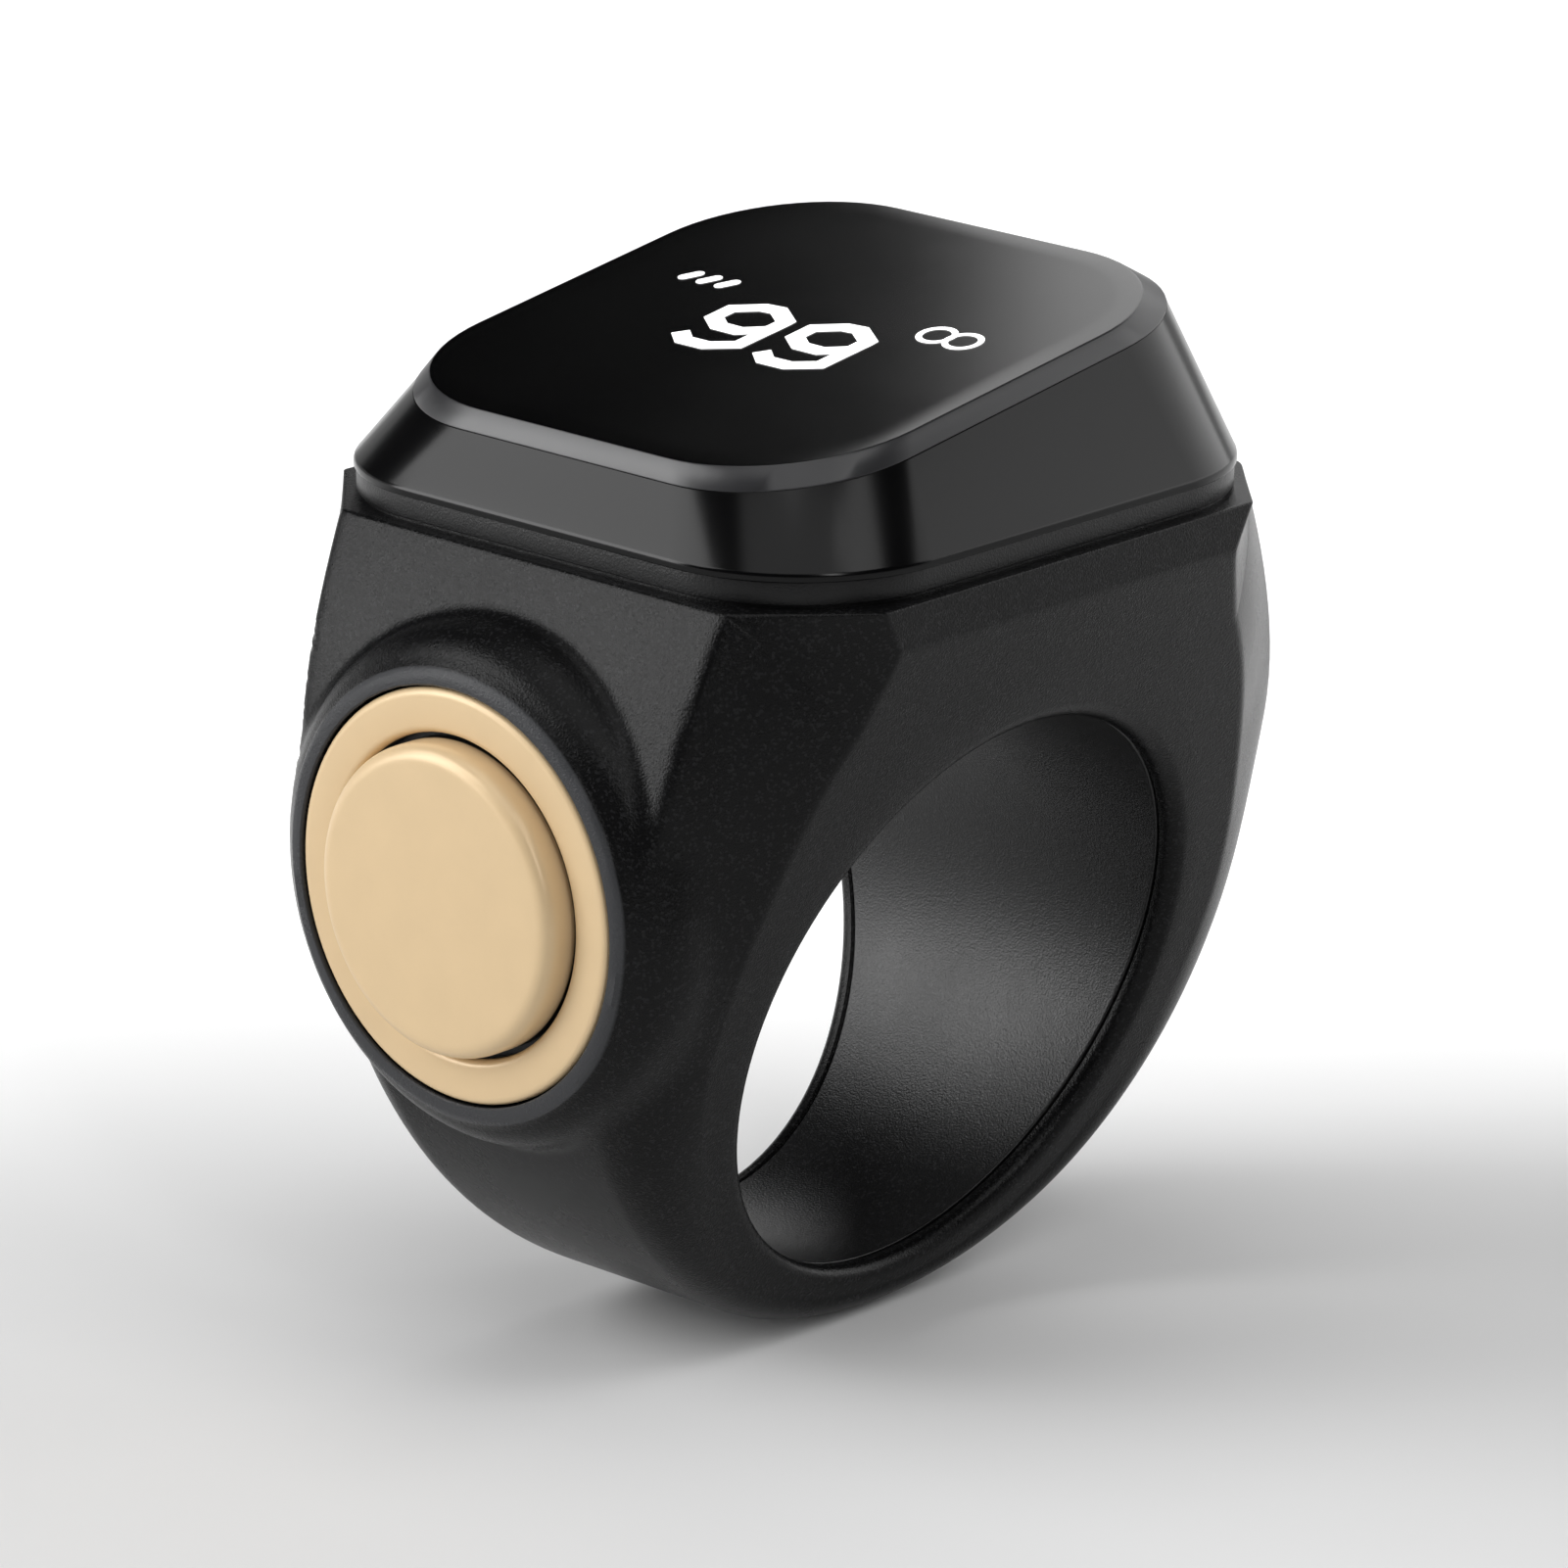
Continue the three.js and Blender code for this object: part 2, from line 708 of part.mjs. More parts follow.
function midFrame() {
  const neckX = headHalfX - neckInset;
  const neckY = headHalfY - neckInset;
  const ledgeX = frameHoleX - ledgeEndWidth;
  const ledgeY = frameHoleY - ledgeWidth;
  const ledgeR = frameHoleR - ledgeWidth / 2;
  return skinLoops([
    roundedLoop(skirtHalfX, skirtHalfY, skirtCornerR, level(skirtBottomZ)),
    roundedLoop(skirtHalfX, skirtHalfY, skirtCornerR, level(shoulderZ)),
    roundedLoop(neckX, neckY, neckCornerR, level(shoulderZ)),
    roundedLoop(neckX, neckY, neckCornerR, level(neckTopZ)),
    roundedLoop(frameHoleX, frameHoleY, frameHoleR, level(neckTopZ)),
    roundedLoop(frameHoleX, frameHoleY, frameHoleR, level(boardBottomZ)),
    roundedLoop(ledgeX, ledgeY, ledgeR, level(boardBottomZ)),
    roundedLoop(ledgeX, ledgeY, ledgeR, level(skirtBottomZ)),
  ], true);
}

// Loop that lies inside the cover's rim by an inset, at a height above the middle of the rim
function rimLoop(inset, lift) {
  return roundedLoop(
    rimHalfX - inset, rimHalfY - inset, rimCornerR - inset, sloped(rimZ + lift), rimCentreX,
  );
}

function topCover() {
  const innerX = coverHalfX - coverWall;
  const innerY = coverHalfY - coverWall;
  return skinLoops([
    roundedLoop(coverHalfX, coverHalfY, coverCornerR, level(neckTopZ)),
    roundedLoop(coverHalfX, coverHalfY, coverCornerR, level(neckTopZ + coverLip)),
    rimLoop(0, 0),
    rimLoop(gasketSeatInset, 0),
    rimLoop(gasketSeatInset, -gasketSeatDepth),
    rimLoop(rimWidth, -gasketSeatDepth),
    roundedLoop(innerX, innerY, coverCornerR - coverWall, level(neckTopZ)),
  ], true);
}

function glassGasket() {
  const low = gasketFit / 2 - gasketSeatDepth;
  const high = -gasketFit / 2;
  return skinLoops([
    rimLoop(gasketSeatInset + gasketFit, low),
    rimLoop(gasketSeatInset + gasketFit, high),
    rimLoop(rimWidth, high),
    rimLoop(rimWidth, low),
  ], true);
}

function displayGlass() {
  const topX = rimHalfX - glassBevelX;
  const topY = rimHalfY - glassBevelY;
  return skinLoops([
    rimLoop(0, 0),
    roundedLoop(topX, topY, glassCornerR, sloped(rimZ + glassThickness), glassCentreX),
  ], false);
}

function displayBracket() {
  const footX = coverHalfX - coverWall - bracketFootInset;
  const footY = coverHalfY - coverWall - bracketFootInset;
  const footR = coverCornerR - coverWall - bracketFootInset;
  const footTopZ = neckTopZ + bracketFootHeight;
  const innerX = bracketHalfX - bracketWall;
  const innerY = bracketHalfY - bracketWall;
  const innerR = bracketCornerR - bracketWall;
  const plateTop = sloped(panelUnderZ - panelSeatGap);
  const plateUnder = sloped(panelUnderZ - panelSeatGap - bracketPlate);
  const windowX = panelHalfX - bracketWindowInset;
  const windowY = panelHalfY - bracketWindowInset;
  return skinLoops([
    roundedLoop(footX, footY, footR, level(neckTopZ)),
    roundedLoop(footX, footY, footR, level(footTopZ)),
    roundedLoop(bracketHalfX, bracketHalfY, bracketCornerR, level(footTopZ)),
    roundedLoop(bracketHalfX, bracketHalfY, bracketCornerR, plateTop),
    roundedLoop(windowX, windowY, bracketWindowR, plateTop),
    roundedLoop(windowX, windowY, bracketWindowR, plateUnder),
    roundedLoop(innerX, innerY, innerR, plateUnder),
    roundedLoop(innerX, innerY, innerR, level(neckTopZ)),
  ], true);
}

function displayPanel() {
  return skinLoops([
    roundedLoop(panelHalfX, panelHalfY, panelCornerR, sloped(panelUnderZ)),
    roundedLoop(panelHalfX, panelHalfY, panelCornerR, sloped(panelTopZ)),
  ], false);
}

function mainBoard() {
  const cornerR = frameHoleR - boardFit;
  return skinLoops([
    roundedLoop(boardHalfX, boardHalfY, cornerR, level(boardBottomZ)),
    roundedLoop(boardHalfX, boardHalfY, cornerR, level(boardTopZ)),
  ], false);
}

function onBoard([sizeX, sizeY, sizeZ], [x, y]) {
  return boxBetween(
    [x - sizeX / 2, y - sizeY / 2, boardTopZ],
    [x + sizeX / 2, y + sizeY / 2, boardTopZ + sizeZ],
  );
}

function displayRibbon() {
  const bottomZ = boardTopZ + connectorHeight;
  const topX = connectorX - ribbonBend;
  const topZ = sloped(panelUnderZ)(topX) - ribbonEndGap;
  return ribbonStrip([
    [connectorX, bottomZ],
    [connectorX, bottomZ + ribbonBend],
    [topX, topZ - ribbonBend],
    [topX, topZ],
  ], ribbonThickness, connectorLength - 2 * ribbonMargin);
}

function contactRibbon() {
  const low = headFloorZ + ribbonThickness / 2;
  return ribbonStrip([
    [-contactRibbonReach, low],
    [riserX, low],
    [riserX, boardBottomZ],
  ], ribbonThickness, contactSpacing + 2 * contactRibbonMargin);
}

function buttonRibbon() {
  const seatX = -(switchBoardTop + ribbonThickness / 2);
  const startZ = buttonRise + springR + springWireR + springClear;
  const boardEdgeZ = buttonRise + switchBoardR + ribbonThickness;
  return ribbonStrip([
    [seatX, startZ],
    [seatX, boardEdgeZ],
    [seatX + ribbonBend, boardEdgeZ + ribbonBend],
    [-riserX - ribbonBend, headFloorZ + ribbonBend],
    [-riserX, headFloorZ + 2 * ribbonBend],
    [-riserX, boardBottomZ],
  ], ribbonThickness, buttonRibbonWidth);
}

function contactPin(side) {
  const pin = turned([
    [0, fingerHoleR + contactRecess],
    [contactHeadR, fingerHoleR + contactRecess],
    [contactHeadR, linerOuterR],
    [contactStemR, linerOuterR],
    [contactStemR, headFloorZ],
    [0, headFloorZ],
  ], pinSegments);
  return upright(pin, 0, (side * contactSpacing) / 2);
}

function coinMotor() {
  return upright(rod(motorR, headFloorZ + padThickness, motorTopZ), motorX, motorY);
}

function motorPad() {
  return upright(rod(motorR - padInset, headFloorZ, headFloorZ + padThickness), motorX, motorY);
}

function battery() {
  return boxBetween(
    [batteryNearX, -batteryHalfY, batteryBottomZ],
    [batteryFarX, batteryHalfY, batteryTopZ],
  );
}

function batteryPad() {
  return boxBetween(
    [batteryNearX + padInset, padInset - batteryHalfY, headFloorZ + ribbonThickness],
    [batteryFarX - padInset, batteryHalfY - padInset, batteryBottomZ],
  );
}

// Flat metal or film tab that stands from its piece up to the underside of the main board
function standingTab(width, x, nearY, bottomZ) {
  return boxBetween(
    [x - width / 2, nearY, bottomZ],
    [x + width / 2, nearY + ribbonThickness, boardBottomZ],
  );
}

function buttonBezel() {
  const seat = bezelSeat + sealThickness;
  const outerRound = bezelR - bezelEdgeRound;
  const innerRound = bezelInnerR + bezelEdgeRound;
  const roundCentre = bossFace - bezelEdgeRound;
  return turned([
    [bezelUndercutR, seat],
    [bezelR, seat],
    ...cornerArc(outerRound, roundCentre, bezelEdgeRound, 0, 90),
    ...cornerArc(innerRound, roundCentre, bezelEdgeRound, 90, 180),
    [bezelInnerR, bezelLipUnder],
    [bezelUndercutR, bezelLipUnder],
    [bezelUndercutR, seat],
  ]);
}

function bezelSeal() {
  const inner = bezelR - sealWall;
  const top = bezelSeat + sealThickness;
  return turned([[inner, bezelSeat], [bezelR, bezelSeat], [bezelR, top], [inner, top], [inner, bezelSeat]]);
}

function buttonCap() {
  const flangeR = capR + capFlangeWidth;
  const hollowR = capR - capWall;
  return turned([
    [0, capBossEnd],
    [capBossR, capBossEnd],
    [capBossR, capCeiling],
    [hollowR, capCeiling],
    [hollowR, flangeBottom],
    [flangeR, flangeBottom],
    [flangeR, flangeTop],
    [capR, flangeTop],
    ...cornerArc(capR - capEdgeRound, capFace - capEdgeRound, capEdgeRound, 0, 90),
    [0, capFace],
  ]);
}

function switchHousing() {
  const half = switchSide / 2;
  const block = boxBetween([-half, switchBoardTop, -half], [half, switchTop, half]);
  const wellFloor = switchPinFoot - buttonTravel - switchWellClear;
  return cut(block, [rod(switchWellR, wellFloor, switchTop + cutOver, pinSegments)]);
}

function returnSpring() {
  const low = switchBoardTop + springWireR + springEndGap;
  const high = capCeiling - springWireR - springEndGap;
  const steps = springTurns * springStepsPerTurn;
  const loops = Array.from({ length: steps + 1 }, (_, i) => {
    const share = i / steps;
    const turn = share * springTurns * Math.PI * 2;
    const outward = new THREE.Vector3(Math.cos(turn), 0, Math.sin(turn));
    const centre = outward.clone().multiplyScalar(springR);
    centre.y = low + (high - low) * share;
    return Array.from({ length: springSides }, (_unused, j) => {
      const around = (j / springSides) * Math.PI * 2;
      return centre.clone()
        .addScaledVector(outward, springWireR * Math.cos(around))
        .add(new THREE.Vector3(0, springWireR * Math.sin(around), 0));
    });
  });
  return skinLoops(loops, false);
}

// Shell of the ring
addPiece('ring_body', ringBody(), 'mattePlastic');
addPiece('inner_liner', innerLiner(), 'linerPlastic');
addPiece('mid_frame', midFrame(), 'mattePlastic');
addPiece('top_cover', topCover(), 'glossPlastic');
addPiece('glass_gasket', glassGasket(), 'rubber');
addPiece('display_glass', displayGlass(), 'darkGlass');

// Display
addPiece('display_bracket', displayBracket(), 'whitePlastic');
addPiece('display_panel', displayPanel(), 'darkGlass');
addPiece('display_ribbon', displayRibbon(), 'ribbon');

// Main board
addPiece('main_board', mainBoard(), 'boardGreen');
boardParts.forEach(({ name, size, at, finish }) => addPiece(name, onBoard(size, at), finish));

// Power and feedback
const batteryMiddleX = (batteryNearX + batteryFarX) / 2;
const batteryTabZ = batteryTopZ - batteryTabDrop;
addPiece('battery_pad', batteryPad(), 'foam');
addPiece('battery', battery(), 'foil');
addPiece('battery_tab', standingTab(batteryTabWidth, batteryMiddleX, batteryHalfY, batteryTabZ), 'steel');
addPiece('motor_pad', motorPad(), 'foam');
addPiece('vibration_motor', coinMotor(), 'steel');
addPiece('motor_tab', standingTab(motorTabWidth, motorX, motorY, motorTopZ), 'ribbon');
addPiece('contact_ribbon', contactRibbon(), 'ribbon');
addPiece('charge_contact_front', contactPin(-1), 'gold');
addPiece('charge_contact_back', contactPin(1), 'gold');

// Push button
addPiece('button_bezel', buttonBezel(), 'champagne', buttonAxis);
addPiece('bezel_seal', bezelSeal(), 'rubber', buttonAxis);
addPiece('button_cap', buttonCap(), 'champagne', buttonAxis);
addPiece('button_stem', rod(stemR, switchPinTop, capBossEnd, pinSegments), 'steel', buttonAxis);
addPiece('return_spring', returnSpring(), 'steel', buttonAxis);
const switchPin = rod(switchPinR, switchPinFoot, switchPinTop, pinSegments);
addPiece('switch_pin', switchPin, 'whitePlastic', buttonAxis);
addPiece('switch_housing', switchHousing(), 'chip', buttonAxis);
addPiece('switch_board', rod(switchBoardR, chamberFloor, switchBoardTop), 'boardGreen', buttonAxis);
addPiece('button_ribbon', buttonRibbon(), 'ribbon');

export default assembly;
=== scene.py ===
"""Counter ring: shell, head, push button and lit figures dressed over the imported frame."""
import json
import math

import bmesh
import bpy
import numpy as np
from bpy.props import FloatProperty, FloatVectorProperty, PointerProperty
from mathutils import Matrix, Vector


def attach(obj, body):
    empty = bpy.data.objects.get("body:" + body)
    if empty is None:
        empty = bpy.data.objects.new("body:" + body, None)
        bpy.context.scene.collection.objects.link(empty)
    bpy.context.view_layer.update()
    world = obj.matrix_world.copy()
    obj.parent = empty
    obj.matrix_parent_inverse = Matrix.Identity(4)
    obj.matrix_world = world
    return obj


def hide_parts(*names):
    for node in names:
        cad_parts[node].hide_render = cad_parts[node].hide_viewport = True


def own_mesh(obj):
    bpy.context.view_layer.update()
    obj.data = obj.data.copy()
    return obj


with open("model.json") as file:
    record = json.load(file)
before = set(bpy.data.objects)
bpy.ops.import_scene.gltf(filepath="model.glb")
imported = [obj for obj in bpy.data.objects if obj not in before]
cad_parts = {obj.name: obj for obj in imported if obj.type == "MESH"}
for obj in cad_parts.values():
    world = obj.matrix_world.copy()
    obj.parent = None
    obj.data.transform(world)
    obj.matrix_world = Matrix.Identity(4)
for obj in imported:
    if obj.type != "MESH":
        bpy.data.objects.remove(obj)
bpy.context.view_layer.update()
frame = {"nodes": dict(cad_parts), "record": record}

bl_info = {
    "name": "Counter ring",
    "version": (1, 0, 0),
    "blender": (4, 5, 0),
    "location": "3D View > Sidebar > Counter ring",
    "description": "Builds the looks of a counter ring round its packed frame",
    "category": "Object",
}

MM = 0.001

# Finger hole and its liner, in millimetres
HOLE_R = 10.0
LINER_R = 10.8
RECESS_R = 10.85
HOLE_EDGE_ROUND = 0.6
LIP_LAND = 0.2
LINER_FIT = 0.05
SEAM_ROUND = 0.09

# Band and head of the shell
FACE_HALF_AT_HOLE = 7.7
HEAD_HALF_X = 12.54
HEAD_HALF_Y = 12.13
HEAD_CORNER_CUT = 3.52
SHOULDER_Z = 16.0
CREASE_Z = 14.52
WIDEST_HALF_X = 15.6
WIDEST_RISE = 4.0
BOTTOM_Z = -12.0
CORNER_FULLNESS = 0.3
CORNER_EASE = 0.8
FACE_TAPER = (HEAD_HALF_Y - FACE_HALF_AT_HOLE) / CREASE_Z
CORNER_START = math.atan2(HEAD_HALF_X - HEAD_CORNER_CUT, SHOULDER_Z)
CORNER_END = math.atan2(HEAD_HALF_X, SHOULDER_Z)
# Angle from the display in degrees, width of the flat face, half width of the side, fullness
STATIONS = (
    (math.degrees(CORNER_END), 5.0, HEAD_HALF_Y - HEAD_CORNER_CUT, CORNER_FULLNESS),
    (62.0, 3.15, 7.85, 0.1),
    (90.0, 2.35, 5.5, 0.55),
    (135.0, 1.45, 3.9, 0.95),
    (180.0, 1.0, 2.4, 0.93),
)

# How softly the shell's edges turn, as the reach of the curve to each side of the edge
SHOULDER_ROUND = 0.22
CREASE_ROUND = 0.3
FACE_EDGE_ROUND = 0.22
SIDE_EDGE_ROUND = 0.5

# Hollow head, as the solids have it
CAVITY_FLOOR_Z = 11.7
PASSAGE_LOW = (-12.65, -2.2, 9.5)
PASSAGE_HIGH = (-8.9, 2.2, 13.0)
CONTACT_Y = 2.5
CONTACT_STEM_HOLE_R = 0.7
CONTACT_HEAD_HOLE_R = 1.0

# Rounded rectangles of the head, as half width, half length and corner radius
CAVITY = (10.39, 9.98, 4.0)
SKIRT = (10.29, 9.88, 3.9)
NECK = (12.09, 11.68, 5.6)
FRAME_HOLE = (9.49, 9.08, 3.1)
LEDGE = (9.34, 8.18, 2.65)
COVER = (12.24, 11.83, 5.9)
RIM = (10.6, 10.05, 5.4)
GLASS = (10.05, 9.7, 5.5)

# Heights and thicknesses of the neck, the cover and the glass
SKIRT_Z = 14.2
BOARD_SEAT_Z = 14.8
NECK_TOP_Z = 16.9
NECK_GROOVE = 0.12
NECK_EDGE_ROUND = 0.04
COVER_LIP = 0.25
COVER_WALL = 1.1
COVER_FOOT_ROUND = 0.05
COVER_LIP_ROUND = 0.09
RIM_Z = 20.85
RIM_CENTRE_X = -0.32
RIM_WIDTH = 1.25
RIM_ROUND = 0.05
GASKET_INSET = 0.55
GASKET_DEPTH = 0.2
DISPLAY_SLOPE = 0.155
GLASS_FOOT = 0.04
GLASS_BORDER = 1.0
GLASS_TOP_Z = 21.5
GLASS_CENTRE_X = -0.52
GLASS_EDGE_ROUND = 0.07

# Push button, turned about an axis along X
BUTTON_Z = 5.5
BOSS_FACE = 16.1
BOSS_RIM_R = 7.6
BOSS_RIM_ROUND = 0.25
BOSS_FLARE_R = 8.75
BOSS_FLARE_DEPTH = 2.9
BOSS_SWELL_R = 8.95
BOSS_SWELL_DEPTH = 0.9
BOSS_BLEND = 0.4
BEZEL_EDGE_ROUND = 0.3
BEZEL_STEPS = 8
CAP_EDGE_ROUND = 0.6
CAP_STEPS = 12
# Radius and depth of the bore from its mouth inwards, over the bezel's seat and the switch's step
BORE_PROFILE = (
    (7.03, BOSS_FACE), (6.98, BOSS_FACE - 0.05), (6.98, 14.5), (6.05, 14.5),
    (6.05, 13.4), (5.2, 13.4), (5.2, 11.45),
)
# Radius and depth of the bezel, from under its lip round to its face
BEZEL_PROFILE = (
    (5.4, 15.4), (6.05, 15.4), (6.05, 14.8), (6.9, 14.8),
    (6.9, BOSS_FACE), (5.4, BOSS_FACE), (5.4, 15.4),
)
# Radius and depth of the hollow cap, from its face over its flange to the boss for the stem
CAP_PROFILE = (
    (0.02, 17.05), (5.2, 17.05), (5.2, 15.3), (5.85, 15.3), (5.85, 14.7),
    (4.35, 14.7), (4.35, 15.9), (1.6, 15.9), (1.6, 15.1), (0.02, 15.1),
)

# Where the boss joins the band: rays from a point on the button axis find the blended surface
RAY_START = (-6.0, 0.0, BUTTON_Z)
RAY_NEAR = 3.0
RAY_FAR = 16.0
RAY_HALVINGS = 34
FOOT_HALVINGS = 12
PATCH_ANGLE = math.radians(54.0)
PATCH_RINGS = 18
PATCH_EASE_TO_FOOT = 0.6
PATCH_EASE_TO_RIM = 1.6
PATCH_CLEAR_OF_BORE = 0.5

# How finely curves are drawn
CORNER_STEPS = 16
EDGE_STEPS = 6
HOLE_EDGE_STEPS = 7
SECTION_EDGE_STEPS = 5
SHOULDER_STEPS = 8
FACE_SHARES = (0, 0.3, 0.6, 0.85)
FACET_STEPS = 12
SIDE_STEPS = 7
TOP_STEPS = 40
FLANK_STEPS = 60
UNDER_STEPS = 120
BOSS_STEPS = 16
BOSS_RIM_STEPS = 6
TURN_STEPS = 120
LINER_STEPS = 144
ROD_STEPS = 32
# Sections of the band: reach of the dense zones in degrees, and how many each zone has
NEAR_CORNER_START = 1.2
NEAR_CORNER_END = 1.0
ZONE_SECTIONS = (14, 7, 8, 15)
LAST_SECTIONS = 66
SURFACE_STEP = math.radians(0.5)
CRISP_ANGLE = math.radians(38.0)
NECK_STEPS = 3
COVER_STEPS = 4
# How far cutters reach past what they cut, and how near vertices are joined, in metres
CUT_CLEAR = 1.0
JOIN_DISTANCE = 1e-7


def turns(steps):
    """Angles all round, evenly spaced."""
    return np.linspace(0, 2 * math.pi, steps, endpoint=False)


def bend(t, start, middle, end):
    """Point at a share t of the curve that runs from start to end by way of middle."""
    return (1 - t) ** 2 * start + 2 * t * (1 - t) * middle + t**2 * end


def soft_edge(before, edge, after, reach, steps):
    """Short curve in place of an edge, reaching out to both sides of it."""
    ends = []
    for other in (before, after):
        way = other - edge
        share = np.minimum(reach / np.linalg.norm(way, axis=-1, keepdims=True), 0.5)
        ends.append(edge + way * share)
    return [bend(t, ends[0], edge, ends[1]) for t in np.linspace(0, 1, steps + 1)]


def curve_round(points, reaches, steps=EDGE_STEPS):
    """Replaces the corners of a path by short curves; reach 0 keeps a corner as it is."""
    points = np.asarray(points, float)
    made = []
    for i, (point, reach) in enumerate(zip(points, reaches)):
        if reach <= 0 or i in (0, len(points) - 1):
            made.append(point)
        else:
            made.extend(soft_edge(points[i - 1], point, points[i + 1], reach, steps))
    return np.array(made)


def round_loops(loops, reaches, steps):
    """Softens the edges that run along some of a skin's loops."""
    made = []
    for i, (loop, reach) in enumerate(zip(loops, reaches)):
        if reach <= 0:
            made.append(loop)
        else:
            following = loops[(i + 1) % len(loops)]
            made.extend(soft_edge(loops[i - 1], loop, following, reach, steps))
    return made


def inset(shape, amount):
    """Rounded rectangle that lies inside another by an amount all round."""
    return tuple(size - amount for size in shape)


def rounded_loop(shape, height, slope=0.0, centre_x=0.0):
    """Rounded rectangle as a loop of points, at a height that may slope along X."""
    half_x, half_y, corner_r = shape
    points = []
    for side_x, side_y, start in ((1, 1, 0), (-1, 1, 90), (-1, -1, 180), (1, -1, 270)):
        for angle in np.radians(np.linspace(start, start + 90, CORNER_STEPS + 1)):
            x = centre_x + side_x * (half_x - corner_r) + corner_r * math.cos(angle)
            y = side_y * (half_y - corner_r) + corner_r * math.sin(angle)
            points.append((x, y, height + slope * x))
    return np.array(points)


def rim_loop(amount, lift):
    """Loop inside the cover's rim by an amount, at a height above the rim."""
    return rounded_loop(inset(RIM, amount), RIM_Z + lift, DISPLAY_SLOPE, RIM_CENTRE_X)


def glass_loop(amount):
    """Loop inside the top of the glass by an amount."""
    return rounded_loop(inset(GLASS, amount), GLASS_TOP_Z, DISPLAY_SLOPE, GLASS_CENTRE_X)


def between(rows):
    """Faces between rows of vertices that run round in step."""
    faces = []
    for near, far in zip(rows, rows[1:]):
        faces.extend(zip(near, near[1:] + near[:1], far[1:] + far[:1], far))
    return faces


def skin(loops, joined=False):
    """Points and faces of a skin over loops, joined end to end or closed with flat ends."""
    points = np.concatenate(loops)
    rows = np.arange(len(points)).reshape(len(loops), -1).tolist()
    if joined:
        return points, between(rows + rows[:1])
    return points, between(rows) + [rows[0][::-1], rows[-1]]


def on_axis(radius, depth, angles):
    """Circle about the button axis; depth is how far out it lies along -X."""
    across = radius * np.cos(angles)
    up = BUTTON_Z + radius * np.sin(angles)
    return np.stack([np.full(angles.shape, -depth), across, up], axis=1)


def turned(profile, joined=False):
    """Skin of a profile of radius and depth, turned about the button axis."""
    angles = turns(TURN_STEPS)
    return skin([on_axis(radius, depth, angles) for radius, depth in profile], joined)


def make_mesh(name, points, faces):
    """Mesh with its faces turned outwards and its soft edges shaded smooth."""
    mesh = bpy.data.meshes.new(name)
    mesh.from_pydata((np.asarray(points) * MM).tolist(), [], faces)
    work = bmesh.new()
    work.from_mesh(mesh)
    bmesh.ops.remove_doubles(work, verts=work.verts, dist=JOIN_DISTANCE)
    bmesh.ops.recalc_face_normals(work, faces=work.faces)
    work.to_mesh(mesh)
    work.free()
    smooth(mesh)
    return mesh


def smooth(mesh):
    mesh.shade_smooth()
    mesh.set_sharp_from_angle(angle=CRISP_ANGLE)


def add_object(name, data):
    """Puts mesh, lamp or camera data in the scene."""
    made = bpy.data.objects.new(name, data)
    bpy.context.scene.collection.objects.link(made)
    return made


def add_piece(name, mesh, slot, body="root", stands_for=None):
    """Puts a mesh in the scene on its body, with the finish of its material slot."""
    piece = add_object(name, mesh)
    mesh.materials.clear()
    mesh.materials.append(finish(slot))
    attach(piece, body)
    if stands_for:
        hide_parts(stands_for)
    return piece


def carved(mesh, cutters):
    """The mesh with closed cutter meshes taken out of it."""
    target = add_object("carving", mesh)
    tools = []
    for index, (points, faces) in enumerate(cutters):
        tool = add_object(f"cutter_{index}", make_mesh(f"cutter_{index}", points, faces))
        tools.append(tool)
        cut = target.modifiers.new(tool.name, "BOOLEAN")
        cut.operation = "DIFFERENCE"
        cut.solver = "EXACT"
        cut.object = tool
    bpy.context.view_layer.update()
    shaped = target.evaluated_get(bpy.context.evaluated_depsgraph_get())
    result = bpy.data.meshes.new_from_object(shaped)
    for used in (target, *tools):
        bpy.data.objects.remove(used)
    smooth(result)
    return result


def box_between(low, high):
    corners = ((low[0], low[1]), (high[0], low[1]), (high[0], high[1]), (low[0], high[1]))
    return skin([[(x, y, z) for x, y in corners] for z in (low[2], high[2])])


def contact_holes(radius, low, high):
    """Rods that cut the holes of the two charging contacts."""
    angles = turns(ROD_STEPS)
    rods = []
    for y in (-CONTACT_Y, CONTACT_Y):
        round_x, round_y = radius * np.cos(angles), y + radius * np.sin(angles)
        rods.append(skin([
            np.stack([round_x, round_y, np.full(ROD_STEPS, z)], axis=1) for z in (low, high)
        ]))
    return rods


def station_curve(column):
    """Smooth curve through one value of each band station, over the angle in degrees."""
    angles = np.array([row[0] for row in STATIONS])
    values = np.array([row[column] for row in STATIONS])
    spans = np.diff(angles)
    rises = np.diff(values) / spans
    before, after = spans[:-1], spans[1:]
    inner = (rises[:-1] * after + rises[1:] * before) / (before + after)
    slopes = np.array([rises[0], *inner, 0.0])

    def value_at(degrees):
        i = int(np.clip(np.searchsorted(angles, degrees) - 1, 0, len(spans) - 1))
        t = min(max((degrees - angles[i]) / spans[i], 0.0), 1.0)
        lean, next_lean = spans[i] * slopes[i:i + 2]
        near = (2 * t**3 - 3 * t**2 + 1) * values[i] + (t**3 - 2 * t**2 + t) * lean
        far = (3 * t**2 - 2 * t**3) * values[i + 1] + (t**3 - t**2) * next_lean
        return near + far

    return value_at


face_land_at = station_curve(1)
side_half_at = station_curve(2)
fullness_at = station_curve(3)


def face_half(z):
    """Half the width along the finger hole, at a height."""
    return min(FACE_HALF_AT_HOLE + FACE_TAPER * z, HEAD_HALF_Y)


def lip_half(r, angle):
    """Half the length of the liner's recess along the finger hole, at a radius and angle."""
    return face_half(r * math.cos(angle)) - HOLE_EDGE_ROUND - LIP_LAND


